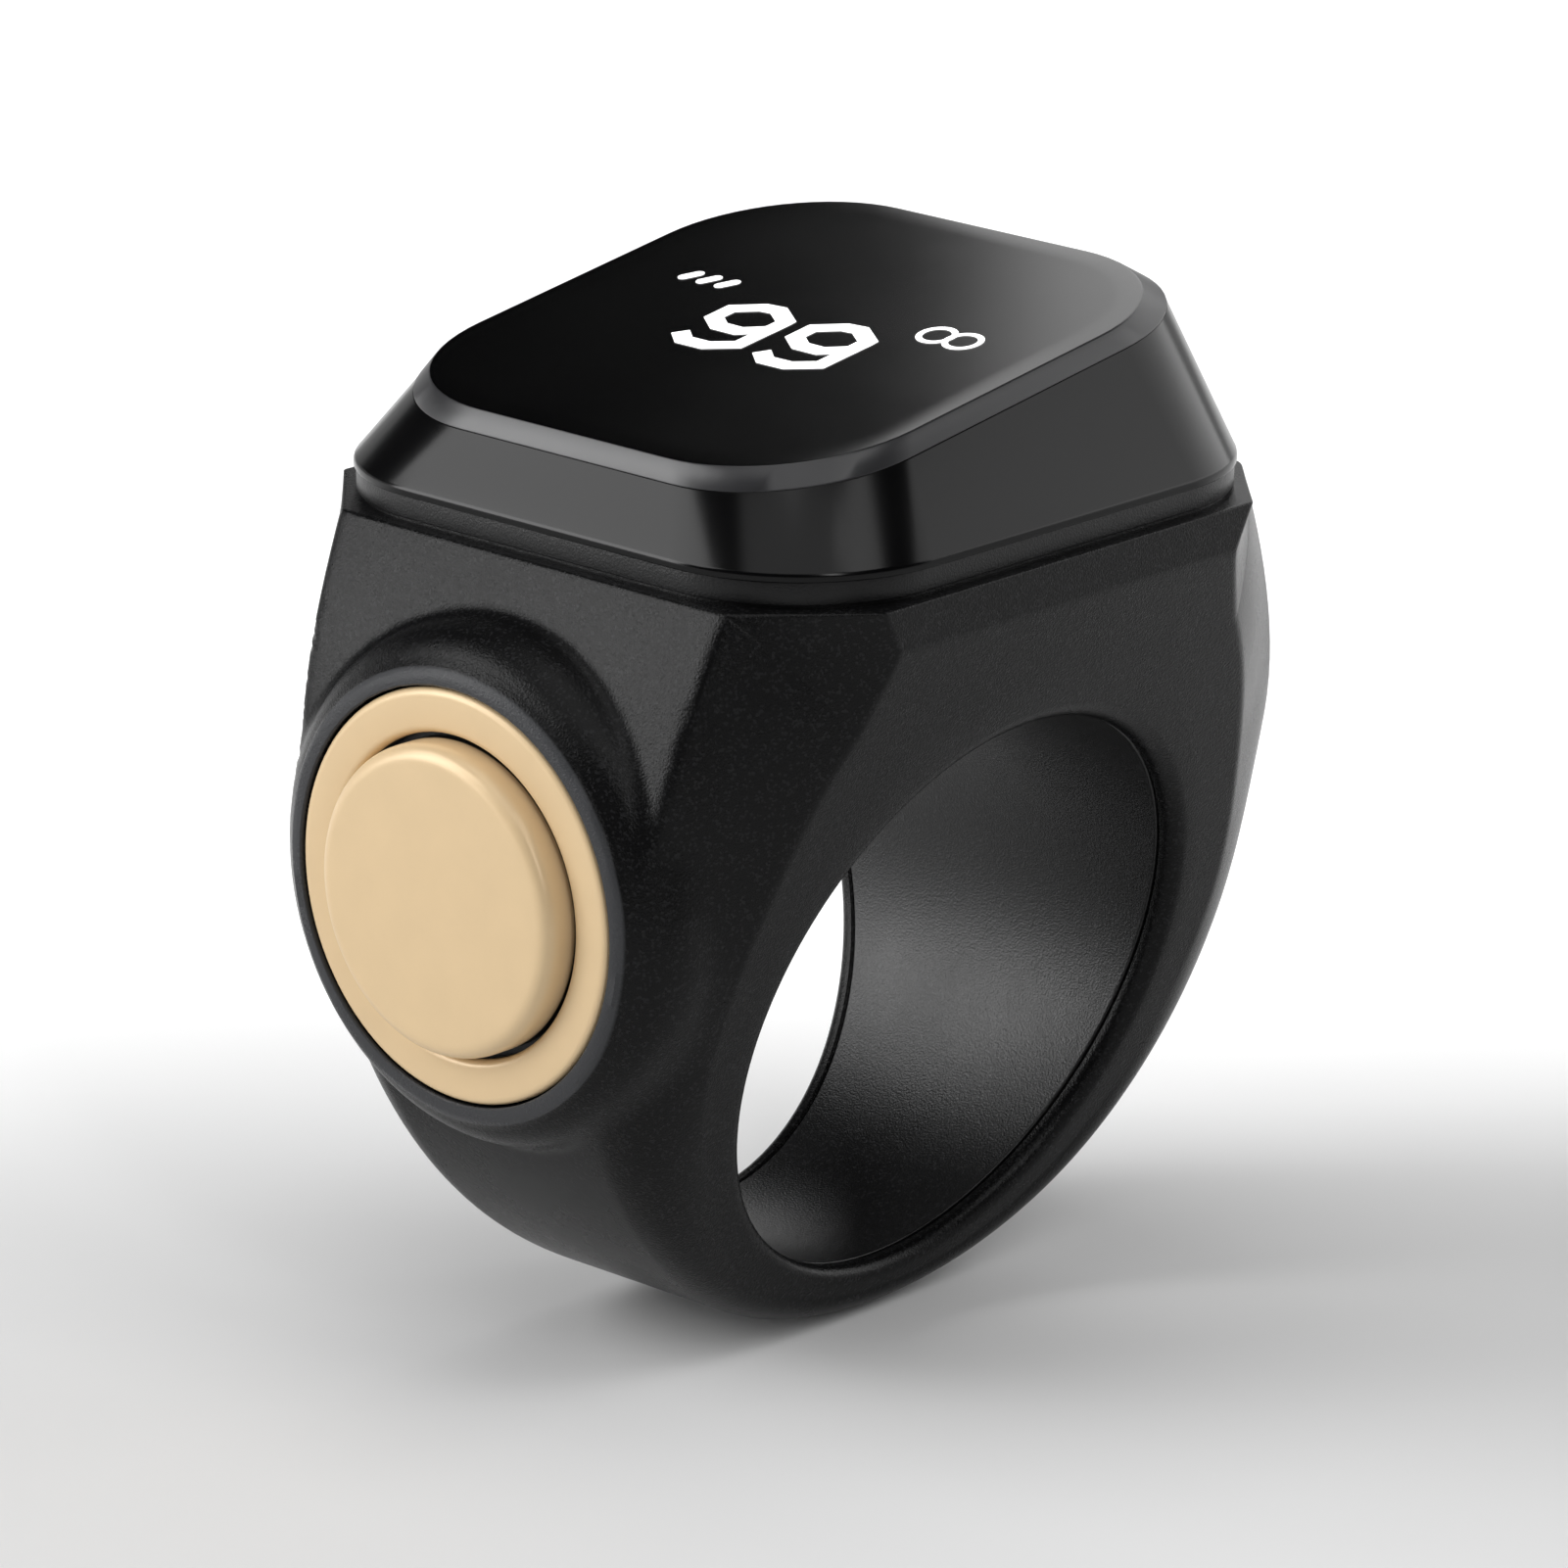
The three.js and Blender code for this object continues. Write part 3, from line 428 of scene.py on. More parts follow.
def outline_table():
    """Outline along the hole from the display down to the bottom, as angles and radii."""
    path = [(x, SHOULDER_Z) for x in np.linspace(0, HEAD_HALF_X, TOP_STEPS)]
    for z in np.linspace(SHOULDER_Z, WIDEST_RISE, FLANK_STEPS)[1:]:
        pull = ((z - WIDEST_RISE) / (SHOULDER_Z - WIDEST_RISE)) ** 2
        path.append((WIDEST_HALF_X - (WIDEST_HALF_X - HEAD_HALF_X) * pull, z))
    for turn in np.linspace(0, math.pi / 2, UNDER_STEPS)[1:]:
        drop = (WIDEST_RISE - BOTTOM_Z) * math.sin(turn)
        path.append((WIDEST_HALF_X * math.cos(turn), WIDEST_RISE - drop))
    reaches = [0.0] * len(path)
    reaches[TOP_STEPS - 1] = SHOULDER_ROUND
    path = curve_round(path, reaches, SHOULDER_STEPS)
    return np.arctan2(path[:, 0], path[:, 1]), np.hypot(path[:, 0], path[:, 1])


OUTLINE_ANGLES, OUTLINE_RADII = outline_table()


def round_corner(angle):
    """How far an angle is round the head's corner, from 0 to 1."""
    return min(max((angle - CORNER_START) / (CORNER_END - CORNER_START), 0.0), 1.0)


def band_edges(angle):
    """Face edge and side edge of the band as radius and half width, and the facet's fullness."""
    cos = math.cos(angle)
    outer = float(np.interp(angle, OUTLINE_ANGLES, OUTLINE_RADII))
    if angle <= CORNER_START:
        return (CREASE_Z / cos, HEAD_HALF_Y), (outer, HEAD_HALF_Y), 0.0
    degrees = math.degrees(max(angle, CORNER_END))
    land_r = HOLE_R + face_land_at(degrees)
    across = round_corner(angle)
    crease_start = CREASE_Z / math.cos(CORNER_START)
    face_r = crease_start + (land_r - crease_start) * across**CORNER_EASE
    if across < 1:
        top_x = SHOULDER_Z * math.tan(angle)
        side_half = HEAD_HALF_Y - (top_x - (HEAD_HALF_X - HEAD_CORNER_CUT))
    else:
        side_half = side_half_at(degrees)
    return (face_r, face_half(face_r * cos)), (outer, side_half), fullness_at(degrees) * across


def outer_section(angle):
    """Half of the band's section from the flat face out to the middle of the side."""
    face, side, fullness = band_edges(angle)
    face, side = np.array(face), np.array(side)
    control = (face + side) / 2
    control = control + (np.maximum(face, side) - control) * fullness
    inner_r = HOLE_R + HOLE_EDGE_ROUND
    inner = np.array([inner_r, face_half(inner_r * math.cos(angle))])
    path = [inner + (face - inner) * share for share in FACE_SHARES]
    path.extend(bend(t, face, control, side) for t in np.linspace(0, 1, FACET_STEPS + 1))
    path.extend(side * (1, share) for share in np.linspace(1, 0, SIDE_STEPS + 1)[1:])
    reaches = [0.0] * len(path)
    crease = CREASE_ROUND + (FACE_EDGE_ROUND - CREASE_ROUND) * round_corner(angle)
    reaches[len(FACE_SHARES)] = crease
    reaches[len(FACE_SHARES) + FACET_STEPS] = (
        SHOULDER_ROUND if angle < CORNER_END else SIDE_EDGE_ROUND
    )
    return curve_round(path, reaches, SECTION_EDGE_STEPS)


def full_section(angle):
    """Closed section of the band at an angle, as radius and place along the hole."""
    half = [(r, lip_half(r, angle)) for r in (RECESS_R, HOLE_R + SEAM_ROUND)]
    half.append((HOLE_R, lip_half(HOLE_R, angle) + SEAM_ROUND))
    for turn in np.linspace(0, math.pi / 2, HOLE_EDGE_STEPS + 1)[:-1]:
        r = HOLE_R + HOLE_EDGE_ROUND * (1 - math.cos(turn))
        edge = face_half(r * math.cos(angle))
        half.append((r, edge - HOLE_EDGE_ROUND * (1 - math.sin(turn))))
    half = np.array([*half, *outer_section(angle)])
    return np.concatenate([half * (1, -1), half[-2::-1]])


def swept(section, angle):
    """Section of radius and place along the hole, stood up at its angle round the hole."""
    r, y = section.T
    return np.stack([r * math.sin(angle), y, r * math.cos(angle)], axis=1)


def band_angles():
    """Angles of the band's sections, closer together round the head's corners."""
    start, end = math.degrees(CORNER_START), math.degrees(CORNER_END)
    stops = (
        0, start - NEAR_CORNER_START, start + NEAR_CORNER_START,
        end - NEAR_CORNER_END, end + NEAR_CORNER_END,
    )
    parts = [
        np.linspace(low, high, count, endpoint=False)
        for low, high, count in zip(stops, stops[1:], ZONE_SECTIONS)
    ]
    parts.append(np.linspace(stops[-1], 180, LAST_SECTIONS))
    half = np.radians(np.concatenate(parts))
    return np.concatenate([half, -half[-2:0:-1]])


def signed_distance(points, polygons):
    """Distance of each point to its own closed polygon, negative inside."""
    starts = polygons
    ends = np.roll(polygons, -1, axis=1)
    edge = ends - starts
    offset = points[:, None, :] - starts
    along = np.einsum("nmk,nmk->nm", offset, edge)
    length = np.einsum("nmk,nmk->nm", edge, edge)
    share = np.clip(along / np.maximum(length, 1e-12), 0, 1)
    gap = offset - edge * share[:, :, None]
    distance = np.sqrt(np.einsum("nmk,nmk->nm", gap, gap).min(axis=1))
    above = starts[:, :, 1] > points[:, None, 1]
    crosses = above != (ends[:, :, 1] > points[:, None, 1])
    rise = np.where(crosses, edge[:, :, 1], 1.0)
    meet = starts[:, :, 0] + edge[:, :, 0] * (points[:, None, 1] - starts[:, :, 1]) / rise
    inside = (crosses & (points[:, None, 0] < meet)).sum(axis=1) % 2 == 1
    return np.where(inside, -distance, distance)


def boss_profile():
    """Outside of the boss as radius and depth, with its flare and its rounded rim."""
    start = np.array([BOSS_FLARE_R, BOSS_FACE - BOSS_FLARE_DEPTH])
    swell = np.array([BOSS_SWELL_R, BOSS_FACE - BOSS_SWELL_DEPTH])
    end = np.array([BOSS_RIM_R, BOSS_FACE - BOSS_RIM_ROUND])
    points = [(0.0, 0.0), (BOSS_FLARE_R, 0.0)]
    points.extend(bend(t, start, swell, end) for t in np.linspace(0, 1, BOSS_STEPS + 1))
    for turn in np.linspace(0, math.pi / 2, BOSS_RIM_STEPS + 1)[1:]:
        radius = BOSS_RIM_R - BOSS_RIM_ROUND * (1 - math.cos(turn))
        points.append((radius, BOSS_FACE - BOSS_RIM_ROUND * (1 - math.sin(turn))))
    points.append((0.0, BOSS_FACE))
    return np.array(points)


class ShellSurface:
    """The band and the boss as one smooth surface: below zero inside, above zero outside."""

    def __init__(self):
        rows = []
        for angle in np.arange(0, math.pi + SURFACE_STEP, SURFACE_STEP):
            section = outer_section(min(angle, math.pi))
            middle = [(0.0, 0.0), (0.0, face_half(0.0))]
            rows.append(np.array([*middle, *section, (section[-1, 0], -1.0), (0.0, -1.0)]))
        self.sections = np.array(rows)
        self.boss = boss_profile()

    def distances(self, points):
        """Distances of points to the band and to the boss."""
        radius = np.hypot(points[:, 0], points[:, 2])
        angle = np.abs(np.arctan2(points[:, 0], points[:, 2])) / SURFACE_STEP
        row = np.clip(angle.astype(int), 0, len(self.sections) - 2)
        share = (angle - row)[:, None, None]
        sections = self.sections[row] * (1 - share) + self.sections[row + 1] * share
        band = signed_distance(np.stack([radius, np.abs(points[:, 1])], axis=1), sections)
        reach = np.hypot(points[:, 1], points[:, 2] - BUTTON_Z)
        profiles = np.broadcast_to(self.boss, (len(points), *self.boss.shape))
        return band, signed_distance(np.stack([reach, -points[:, 0]], axis=1), profiles)

    def __call__(self, points):
        band, boss = self.distances(points)
        overlap = np.maximum(BOSS_BLEND - np.abs(band - boss), 0) / BOSS_BLEND
        return np.minimum(band, boss) - overlap**2 * BOSS_BLEND / 4


def halved(near, far, halvings, still_near):
    """Places between near and far where a test turns false, found by halving."""
    for _ in range(halvings):
        middle = (near + far) / 2
        stays = still_near(middle)
        near = np.where(stays, middle, near)
        far = np.where(stays, far, middle)
    return near


def along_rays(surface, angles, spreads):
    """Where rays from the button axis leave the surface."""
    across, up = np.sin(spreads) * np.cos(angles), np.sin(spreads) * np.sin(angles)
    headings = np.stack([-np.cos(spreads), across, up], axis=1)
    near, far = np.full((2, len(angles)), ((RAY_NEAR,), (RAY_FAR,)))
    reach = halved(
        near, far, RAY_HALVINGS, lambda tried: surface(RAY_START + headings * tried[:, None]) < 0,
    )
    return RAY_START + headings * reach[:, None]


def foot_of_boss(surface, angles, outer, inner):
    """Spreads of the rays that meet the line where the boss leaves the band."""
    def on_band(spreads):
        band, boss = surface.distances(along_rays(surface, angles, spreads))
        return band <= boss

    return halved(outer, np.full(len(angles), inner), FOOT_HALVINGS, on_band)


def border_loop(gone):
    """Vertex loop round the faces that are gone, in order."""
    seen = {(face[i], face[(i + 1) % 4]) for face in gone for i in range(4)}
    edges = [edge for edge in seen if (edge[1], edge[0]) not in seen]
    following = dict(edges)
    loop = [edges[0][0]]
    while following[loop[-1]] != loop[0]:
        loop.append(following[loop[-1]])
    return loop


def patch_rings(around, border_spread):
    """Rings of points from the border of the band over the boss and down into its bore."""
    surface = ShellSurface()
    rim = math.atan2(BOSS_RIM_R - BOSS_RIM_ROUND, BOSS_FACE + RAY_START[0])
    foot = foot_of_boss(surface, around, border_spread, rim)
    rings = []
    for start, end, ease in (
        (border_spread, foot, PATCH_EASE_TO_FOOT), (foot, rim, PATCH_EASE_TO_RIM),
    ):
        for share in np.linspace(0, 1, PATCH_RINGS + 1)[1:] ** ease:
            rings.append(along_rays(surface, around, start + (end - start) * share))
    rings.extend(on_axis(radius, depth, around) for radius, depth in BORE_PROFILE)
    return rings


def shell_skin():
    """Points and faces of the shell: the swept band with the boss and its bore let into it."""
    loops = [swept(full_section(abs(angle)), angle) for angle in band_angles()]
    points, faces = skin(loops, True)
    heading = points - RAY_START
    spread = np.arctan2(np.hypot(heading[:, 1], heading[:, 2]), -heading[:, 0])
    outside = np.hypot(points[:, 0], points[:, 2]) > RECESS_R + PATCH_CLEAR_OF_BORE
    faces = np.array(faces)
    gone = ((spread < PATCH_ANGLE) & (heading[:, 0] < 0) & outside)[faces].any(axis=1)
    border = border_loop(faces[gone].tolist())
    around = np.arctan2(heading[border, 2], heading[border, 1])
    steps = np.diff(np.unwrap(np.append(around, around[0])))
    if not (np.all(steps > 0) or np.all(steps < 0)):
        raise RuntimeError("the hole in the band for the boss isn't a simple ring")
    rings = patch_rings(around, spread[border])
    patch = np.arange(len(rings) * len(border)).reshape(len(rings), -1) + len(points)
    rows = [border, *patch.tolist()]
    kept = [*faces[~gone].tolist(), *between(rows), rows[-1]]
    used = sorted({v for face in kept for v in face})
    place = {v: i for i, v in enumerate(used)}
    points = np.concatenate([points, *rings])[used]
    return points, [[place[v] for v in face] for face in kept]


def shell_mesh():
    points, faces = shell_skin()
    cavity = skin([rounded_loop(CAVITY, z) for z in (CAVITY_FLOOR_Z, SHOULDER_Z + CUT_CLEAR)])
    holes = contact_holes(CONTACT_STEM_HOLE_R, HOLE_R, CAVITY_FLOOR_Z + CUT_CLEAR / 2)
    cutters = [cavity, box_between(PASSAGE_LOW, PASSAGE_HIGH), *holes]
    return carved(make_mesh("shell", points, faces), cutters)


def liner_mesh():
    """Smooth sleeve in the finger hole."""
    loops = []
    for angle in turns(LINER_STEPS):
        outer, inner = (lip_half(r, angle) - LINER_FIT for r in (LINER_R, HOLE_R))
        path = [(LINER_R, 0), (LINER_R, outer), (HOLE_R, inner), (HOLE_R, 0)]
        half = curve_round(path, (0, 0, SEAM_ROUND, 0))
        loops.append(swept(np.concatenate([half * (1, -1), half[-2:0:-1]]), angle))
    holes = contact_holes(CONTACT_HEAD_HOLE_R, HOLE_R - CUT_CLEAR, RECESS_R + CUT_CLEAR)
    return carved(make_mesh("liner", *skin(loops, True)), holes)


def neck_mesh():
    """Frame that plugs into the head and shows as a short neck with a groove at its foot."""
    groove = inset(NECK, NECK_GROOVE)
    loops = [rounded_loop(shape, z) for shape, z in (
        (SKIRT, SKIRT_Z), (SKIRT, SHOULDER_Z),
        (groove, SHOULDER_Z), (groove, SHOULDER_Z + NECK_GROOVE),
        (NECK, SHOULDER_Z + NECK_GROOVE), (NECK, NECK_TOP_Z),
        (FRAME_HOLE, NECK_TOP_Z), (FRAME_HOLE, BOARD_SEAT_Z),
        (LEDGE, BOARD_SEAT_Z), (LEDGE, SKIRT_Z),
    )]
    reaches = [0, 0, 0, 0, NECK_EDGE_ROUND, NECK_EDGE_ROUND, 0, 0, 0, 0]
    return make_mesh("neck", *skin(round_loops(loops, reaches, NECK_STEPS), True))


def cover_mesh():
    """Glossy sloping cover round the display."""
    loops = [
        rounded_loop(COVER, NECK_TOP_Z),
        rounded_loop(COVER, NECK_TOP_Z + COVER_LIP),
        rim_loop(0, 0),
        rim_loop(GASKET_INSET, 0),
        rim_loop(GASKET_INSET, -GASKET_DEPTH),
        rim_loop(RIM_WIDTH, -GASKET_DEPTH),
        rounded_loop(inset(COVER, COVER_WALL), NECK_TOP_Z),
    ]
    reaches = [COVER_FOOT_ROUND, COVER_LIP_ROUND, RIM_ROUND, 0, 0, 0, 0]
    return make_mesh("cover", *skin(round_loops(loops, reaches, COVER_STEPS), True))


def glass_mesh():
    """Display glass with its narrow bevel."""
    loops = [rim_loop(0, 0), rim_loop(0, GLASS_FOOT), glass_loop(0), glass_loop(GLASS_BORDER)]
    reaches = [0, 0, GLASS_EDGE_ROUND, 0]
    return make_mesh("glass", *skin(round_loops(loops, reaches, COVER_STEPS)))


def bezel_mesh():
    reaches = (0, 0, 0, 0, BEZEL_EDGE_ROUND, BEZEL_EDGE_ROUND, 0)
    profile = curve_round(BEZEL_PROFILE, reaches, BEZEL_STEPS)
    return make_mesh("bezel", *turned(profile[:-1], joined=True))


def cap_mesh():
    reaches = (0, CAP_EDGE_ROUND, 0, 0, 0, 0, 0, 0, 0, 0)
    return make_mesh("cap", *turned(curve_round(CAP_PROFILE, reaches, CAP_STEPS)))


# Lit figures, in millimetres across the reading direction and up from the display's middle
NINE_BOWL = (
    (-1.25, 1.55), (-0.35, 2.12), (0.3, 2.17), (1.2, 1.55),
    (1.2, 0.75), (0.35, 0.18), (-0.55, 0.2), (-1.25, 0.7),
)
NINE_TAIL = ((1.21, 1.5), (1.18, -0.72), (0.25, -1.27), (-0.75, -1.27), (-1.36, -0.78))
FIGURE_BASE = -1.65
FIGURE_PITCH = 3.65
FIGURE_CENTRE = 0.22
BAR_FOOT = (-6.33, 1.26)
BAR_TOP = (-6.08, 1.7)
BAR_PITCH = 0.83
BAR_COUNT = 3
BAR_END_STEPS = 12
LINK_CENTRES = ((4.89, 1.42), (6.03, 1.42))
LINK_R = 0.6
LINK_STEPS = 36
MARK_FOOT = 0.012
MARK_TOP = 0.022


def on_glass(across, up, lift):
    """Point on the tilted glass for a place in the reading direction."""
    return (up, -across, GLASS_TOP_Z + DISPLAY_SLOPE * up + lift)


def stroke(path, width, joined=False):
    """Flat stroke of constant width along a path on the glass, as points and faces."""
    path = np.asarray(path, float)
    count = len(path)
    sections = []
    for i in range(count):
        before = path[i] - path[i - 1] if joined or i > 0 else path[1] - path[0]
        after = path[(i + 1) % count] - path[i] if joined or i < count - 1 else before
        before = before / np.linalg.norm(before)
        after = after / np.linalg.norm(after)
        along = (before + after) / np.linalg.norm(before + after)
        half = width / 2 / max(float(along @ after), 0.5)
        across = np.array([-along[1], along[0]]) * half
        near, far = path[i] - across, path[i] + across
        sections.append([on_glass(*place, lift) for place, lift in (
            (near, MARK_FOOT), (far, MARK_FOOT), (far, MARK_TOP), (near, MARK_TOP),
        )])
    return skin(sections, joined)


def short_bar(index, width):
    """Slanted bar with round ends, one of a row."""
    foot, top = (np.array(place) + (BAR_PITCH * index, 0) for place in (BAR_FOOT, BAR_TOP))
    run, rise = top - foot
    outline = []
    for centre, turn in ((top, -90), (foot, 90)):
        for angle in np.radians(np.linspace(turn, turn + 180, BAR_END_STEPS + 1)):
            angle += math.atan2(rise, run)
            outline.append(centre + width / 2 * np.array([math.cos(angle), math.sin(angle)]))
    lifts = (MARK_FOOT, MARK_TOP)
    return skin([[on_glass(*place, lift) for place in outline] for lift in lifts])


def merged(parts):
    """One list of points and faces from several."""
    points, faces = [], []
    for part_points, part_faces in parts:
        start = len(points)
        points.extend(part_points)
        faces.extend([v + start for v in face] for face in part_faces)
    return points, faces


def add_marks(name, parts):
    """Puts lit marks on the glass as one piece."""
    add_piece(name, make_mesh(name, *merged(parts)), "lit_display")


def fill(tree, made, sockets):
    """Sets each named socket of a node to a value, or links it to another node's socket."""
    for key, value in sockets.items():
        if isinstance(value, bpy.types.NodeSocket):
            tree.links.new(value, made.inputs[key])
        else:
            made.inputs[key].default_value = value


def node(tree, kind, sockets=None, **settings):
    """Shader node with its settings and its sockets."""
    made = tree.nodes.new(f"ShaderNode{kind}")
    for key, value in settings.items():
        setattr(made, key, value)
    fill(tree, made, sockets or {})
    return made


def spaced(settings):
    """Settings by the names that sockets have, with spaces."""
    return {key.replace("_", " "): value for key, value in settings.items()}


def math_node(tree, operation, *values):
    return node(tree, "Math", dict(enumerate(values)), operation=operation).outputs[0]


def noise(tree, place, scale, detail=2.0, roughness=0.5):
    sockets = {"Vector": place, "Scale": scale, "Detail": detail, "Roughness": roughness}
    return node(tree, "TexNoise", sockets).outputs["Fac"]


def ramp(tree, value, start, end, low=0.0, high=1.0, kind="LINEAR"):
    """Value that goes from low to high while another goes from start to end."""
    sockets = {"Value": value, "From Min": start, "From Max": end, "To Min": low, "To Max": high}
    return node(tree, "MapRange", sockets, interpolation_type=kind).outputs["Result"]


def mixed(tree, mask, low, high):
    """Colour that is low where the mask is 0 and high where it is 1."""
    sockets = {"Factor": mask, "A": low, "B": high}
    return node(tree, "Mix", sockets, data_type="RGBA").outputs["Result"]


def object_place(tree):
    return node(tree, "TexCoord").outputs["Object"]


def place_in_mm(tree, *scales):
    """Object coordinates in millimetres, times a scale where one is given."""
    place = object_place(tree)
    for scale in (1 / MM, *scales):
        place = node(tree, "VectorMath", {0: place, "Scale": scale}, operation="SCALE").outputs[0]
    return place


def new_group(name, inputs, *outputs):
    """Node group with numbers going in, each with its default, and numbers coming out."""
    tree = bpy.data.node_groups.new(name, "ShaderNodeTree")
    for socket, value in inputs.items():
        made = tree.interface.new_socket(socket, in_out="INPUT", socket_type="NodeSocketFloat")
        made.default_value = value
    for socket in outputs:
        tree.interface.new_socket(socket, in_out="OUTPUT", socket_type="NodeSocketFloat")
    return tree, tree.nodes.new("NodeGroupInput").outputs, tree.nodes.new("NodeGroupOutput")


# Make-up of the shared effects, as shares of one noise in another
CELL_HEIGHT = 0.6
BUMP_SHADE = 0.5
FINE_MARKS = 0.25


def moulded_grain():
    """Fine grain of moulded plastic: a height, a shade that varies from grain to grain, sparks."""
    inputs = {"Grains per mm": 9.0, "Spark share": 0.06}
    tree, given, made = new_group("Moulded grain", inputs, "Height", "Shade", "Spark")
    place = place_in_mm(tree, given["Grains per mm"])
    cells = node(tree, "TexVoronoi", {"Scale": 1.0, "Vector": place})
    bumps = noise(tree, place, scale=1.3, detail=3.0, roughness=0.6)
    cloud = noise(tree, place, scale=0.04)
    pick = node(tree, "SeparateColor", {"Color": cells.outputs["Color"]})
    fill(tree, made, {
        "Height": math_node(tree, "MULTIPLY_ADD", cells.outputs["Distance"], CELL_HEIGHT, bumps),
        "Shade": math_node(tree, "MULTIPLY_ADD", bumps, BUMP_SHADE, cloud),
        "Spark": math_node(tree, "LESS_THAN", pick.outputs["Red"], given["Spark share"]),
    })
    return tree


def handling_marks():
    """Faint uneven gloss left by hands and by the mould, as a value about one half."""
    tree, given, made = new_group("Handling marks", {"Patches per mm": 0.35}, "Value")
    place = place_in_mm(tree, given["Patches per mm"])
    patches = noise(tree, place, scale=1.0, detail=4.0, roughness=0.55)
    fine = noise(tree, place, scale=22.0)
    value = math_node(tree, "MULTIPLY_ADD", fine, FINE_MARKS, patches)
    fill(tree, made, {"Value": math_node(tree, "SUBTRACT", value, FINE_MARKS / 2)})
    return tree


def drawn_lines():
    """Fine parallel lines of drawn, rolled or laid material, as a height about one half."""
    tree, given, made = new_group("Drawn lines", {"Lines per mm": 12.0}, "Height")
    place = place_in_mm(tree, given["Lines per mm"])
    stretched = node(tree, "Mapping", {"Vector": place, "Scale": (0.04, 1.0, 1.0)})
    lines = noise(tree, stretched.outputs["Vector"], scale=1.0, detail=3.0, roughness=0.6)
    fill(tree, made, {"Height": lines})
    return tree


GROUPS = {
    "Moulded grain": moulded_grain,
    "Handling marks": handling_marks,
    "Drawn lines": drawn_lines,
}


def place_group(tree, name, **settings):
    """Outputs of a shared effect, placed in a material with its own values."""
    made = node(tree, "Group", node_tree=bpy.data.node_groups.get(name) or GROUPS[name]())
    fill(tree, made, spaced(settings))
    return made.outputs


def linear(colour):
    """Screen colour from 0 to 1 as the linear colour a shader takes."""
    made = []
    for value in colour:
        made.append(value / 12.92 if value <= 0.04045 else ((value + 0.055) / 1.055) ** 2.4)
    return (*made, 1.0)


def chosen(key):
    """Colour that the user has chosen for a part."""
    return (*getattr(bpy.context.scene.counter_ring_colours, key), 1.0)


def shaded(colour, factor):
    return (*(min(value * factor, 1.0) for value in colour[:3]), 1.0)


def new_finish(name, colour, roughness, **settings):
    """Material with one Principled shader; settings go straight on its sockets."""
    material = bpy.data.materials.new(name)
    material.use_nodes = True
    tree = material.node_tree
    shader = tree.nodes["Principled BSDF"]
    fill(tree, shader, {"Base Color": colour, "Roughness": roughness, **spaced(settings)})
    return material, tree, shader


def vary_shade(tree, shader, value, colour, darker, lighter):
    """Base colour that moves between two shades of a colour with a value."""
    made = mixed(tree, value, shaded(colour, darker), shaded(colour, lighter))
    fill(tree, shader, {"Base Color": made})
    return made


def vary_roughness(tree, shader, value, low, high):
    fill(tree, shader, {"Roughness": ramp(tree, value, NOISE_LOW, NOISE_HIGH, low, high)})


def emboss(tree, shader, height, depth_mm, strength=1.0):
    bump = node(tree, "Bump", {"Strength": strength, "Distance": depth_mm * MM, "Height": height})
    fill(tree, shader, {"Normal": bump.outputs["Normal"]})


def further_out(tree, depth):
    """Mask that is 1 further out along the button's axis than a depth in millimetres."""
    parts = node(tree, "SeparateXYZ", {"Vector": object_place(tree)})
    start, end = -(depth - MASK_BLUR) * MM, -(depth + MASK_BLUR) * MM
    return ramp(tree, parts.outputs["X"], start, end)


# Values between which noise mostly lies, and how softly a mask by place begins, in millimetres
NOISE_LOW = 0.25
NOISE_HIGH = 0.75
MASK_BLUR = 0.04
# Ground bevel of the glass: how far it leans from the polished top, its colour, its roughness
BEVEL_FACING = 0.93
BEVEL_COLOUR = (0.022, 0.022, 0.024, 1.0)
BEVEL_ROUGHNESS = 0.18
# Bright grains of the moulded plastic, as a multiple of its colour
SPARK_GAIN = 3.5
# Painted reflection: satin grey painted on the body's flat rim round the button, in place of the
# lamp it reflects; painted shade: near-black painted down in the gap round the cap
PAINTED_RIM_REFLECTION = (0.045, 0.046, 0.049, 1.0)
PAINTED_RIM_REFLECTION_DEPTH = 0.14
PAINTED_GAP_SHADE = (0.004, 0.004, 0.004, 1.0)
PAINTED_GAP_SHADE_DEPTH = 0.3
# Plain moulded parts: screen colour, roughness, grains per mm, depth in mm, specular level
PLAIN_PLASTICS = {
    "black_rubber": ((0.08, 0.08, 0.08), 0.85, 6.0, 0.008, 0.3),
    "chip_black": ((0.15, 0.15, 0.16), 0.6, 8.0, 0.006, 0.4),
    "white_plastic": ((0.85, 0.85, 0.82), 0.5, 9.0, 0.003, 0.5),
    "foam_pad": ((0.23, 0.23, 0.24), 0.95, 5.0, 0.03, 0.2),
}
# Moulded parts in the shell's colour: multiple of it, then as above, with the share of sparks and,
# for the body, the grey of the painted reflection on the rim round the button
SHELL_PLASTICS = {
    "body_plastic": (1.0, 0.27, 12.0, 0.013, 0.14, 0.15, PAINTED_RIM_REFLECTION),
    "liner_plastic": (1.3, 0.35, 12.0, 0.012, 0.4, 0.1),
    "frame_plastic": (1.2, 0.36, 12.0, 0.01, 0.3),
}
# Drawn and pressed metals: screen colour, roughness, lines per mm, depth in mm
METALS = {
    "bare_steel": ((0.72, 0.73, 0.74), 0.28, 14.0, 0.002),
    "gold_contact": ((0.86, 0.68, 0.32), 0.22, 18.0, 0.001),
}


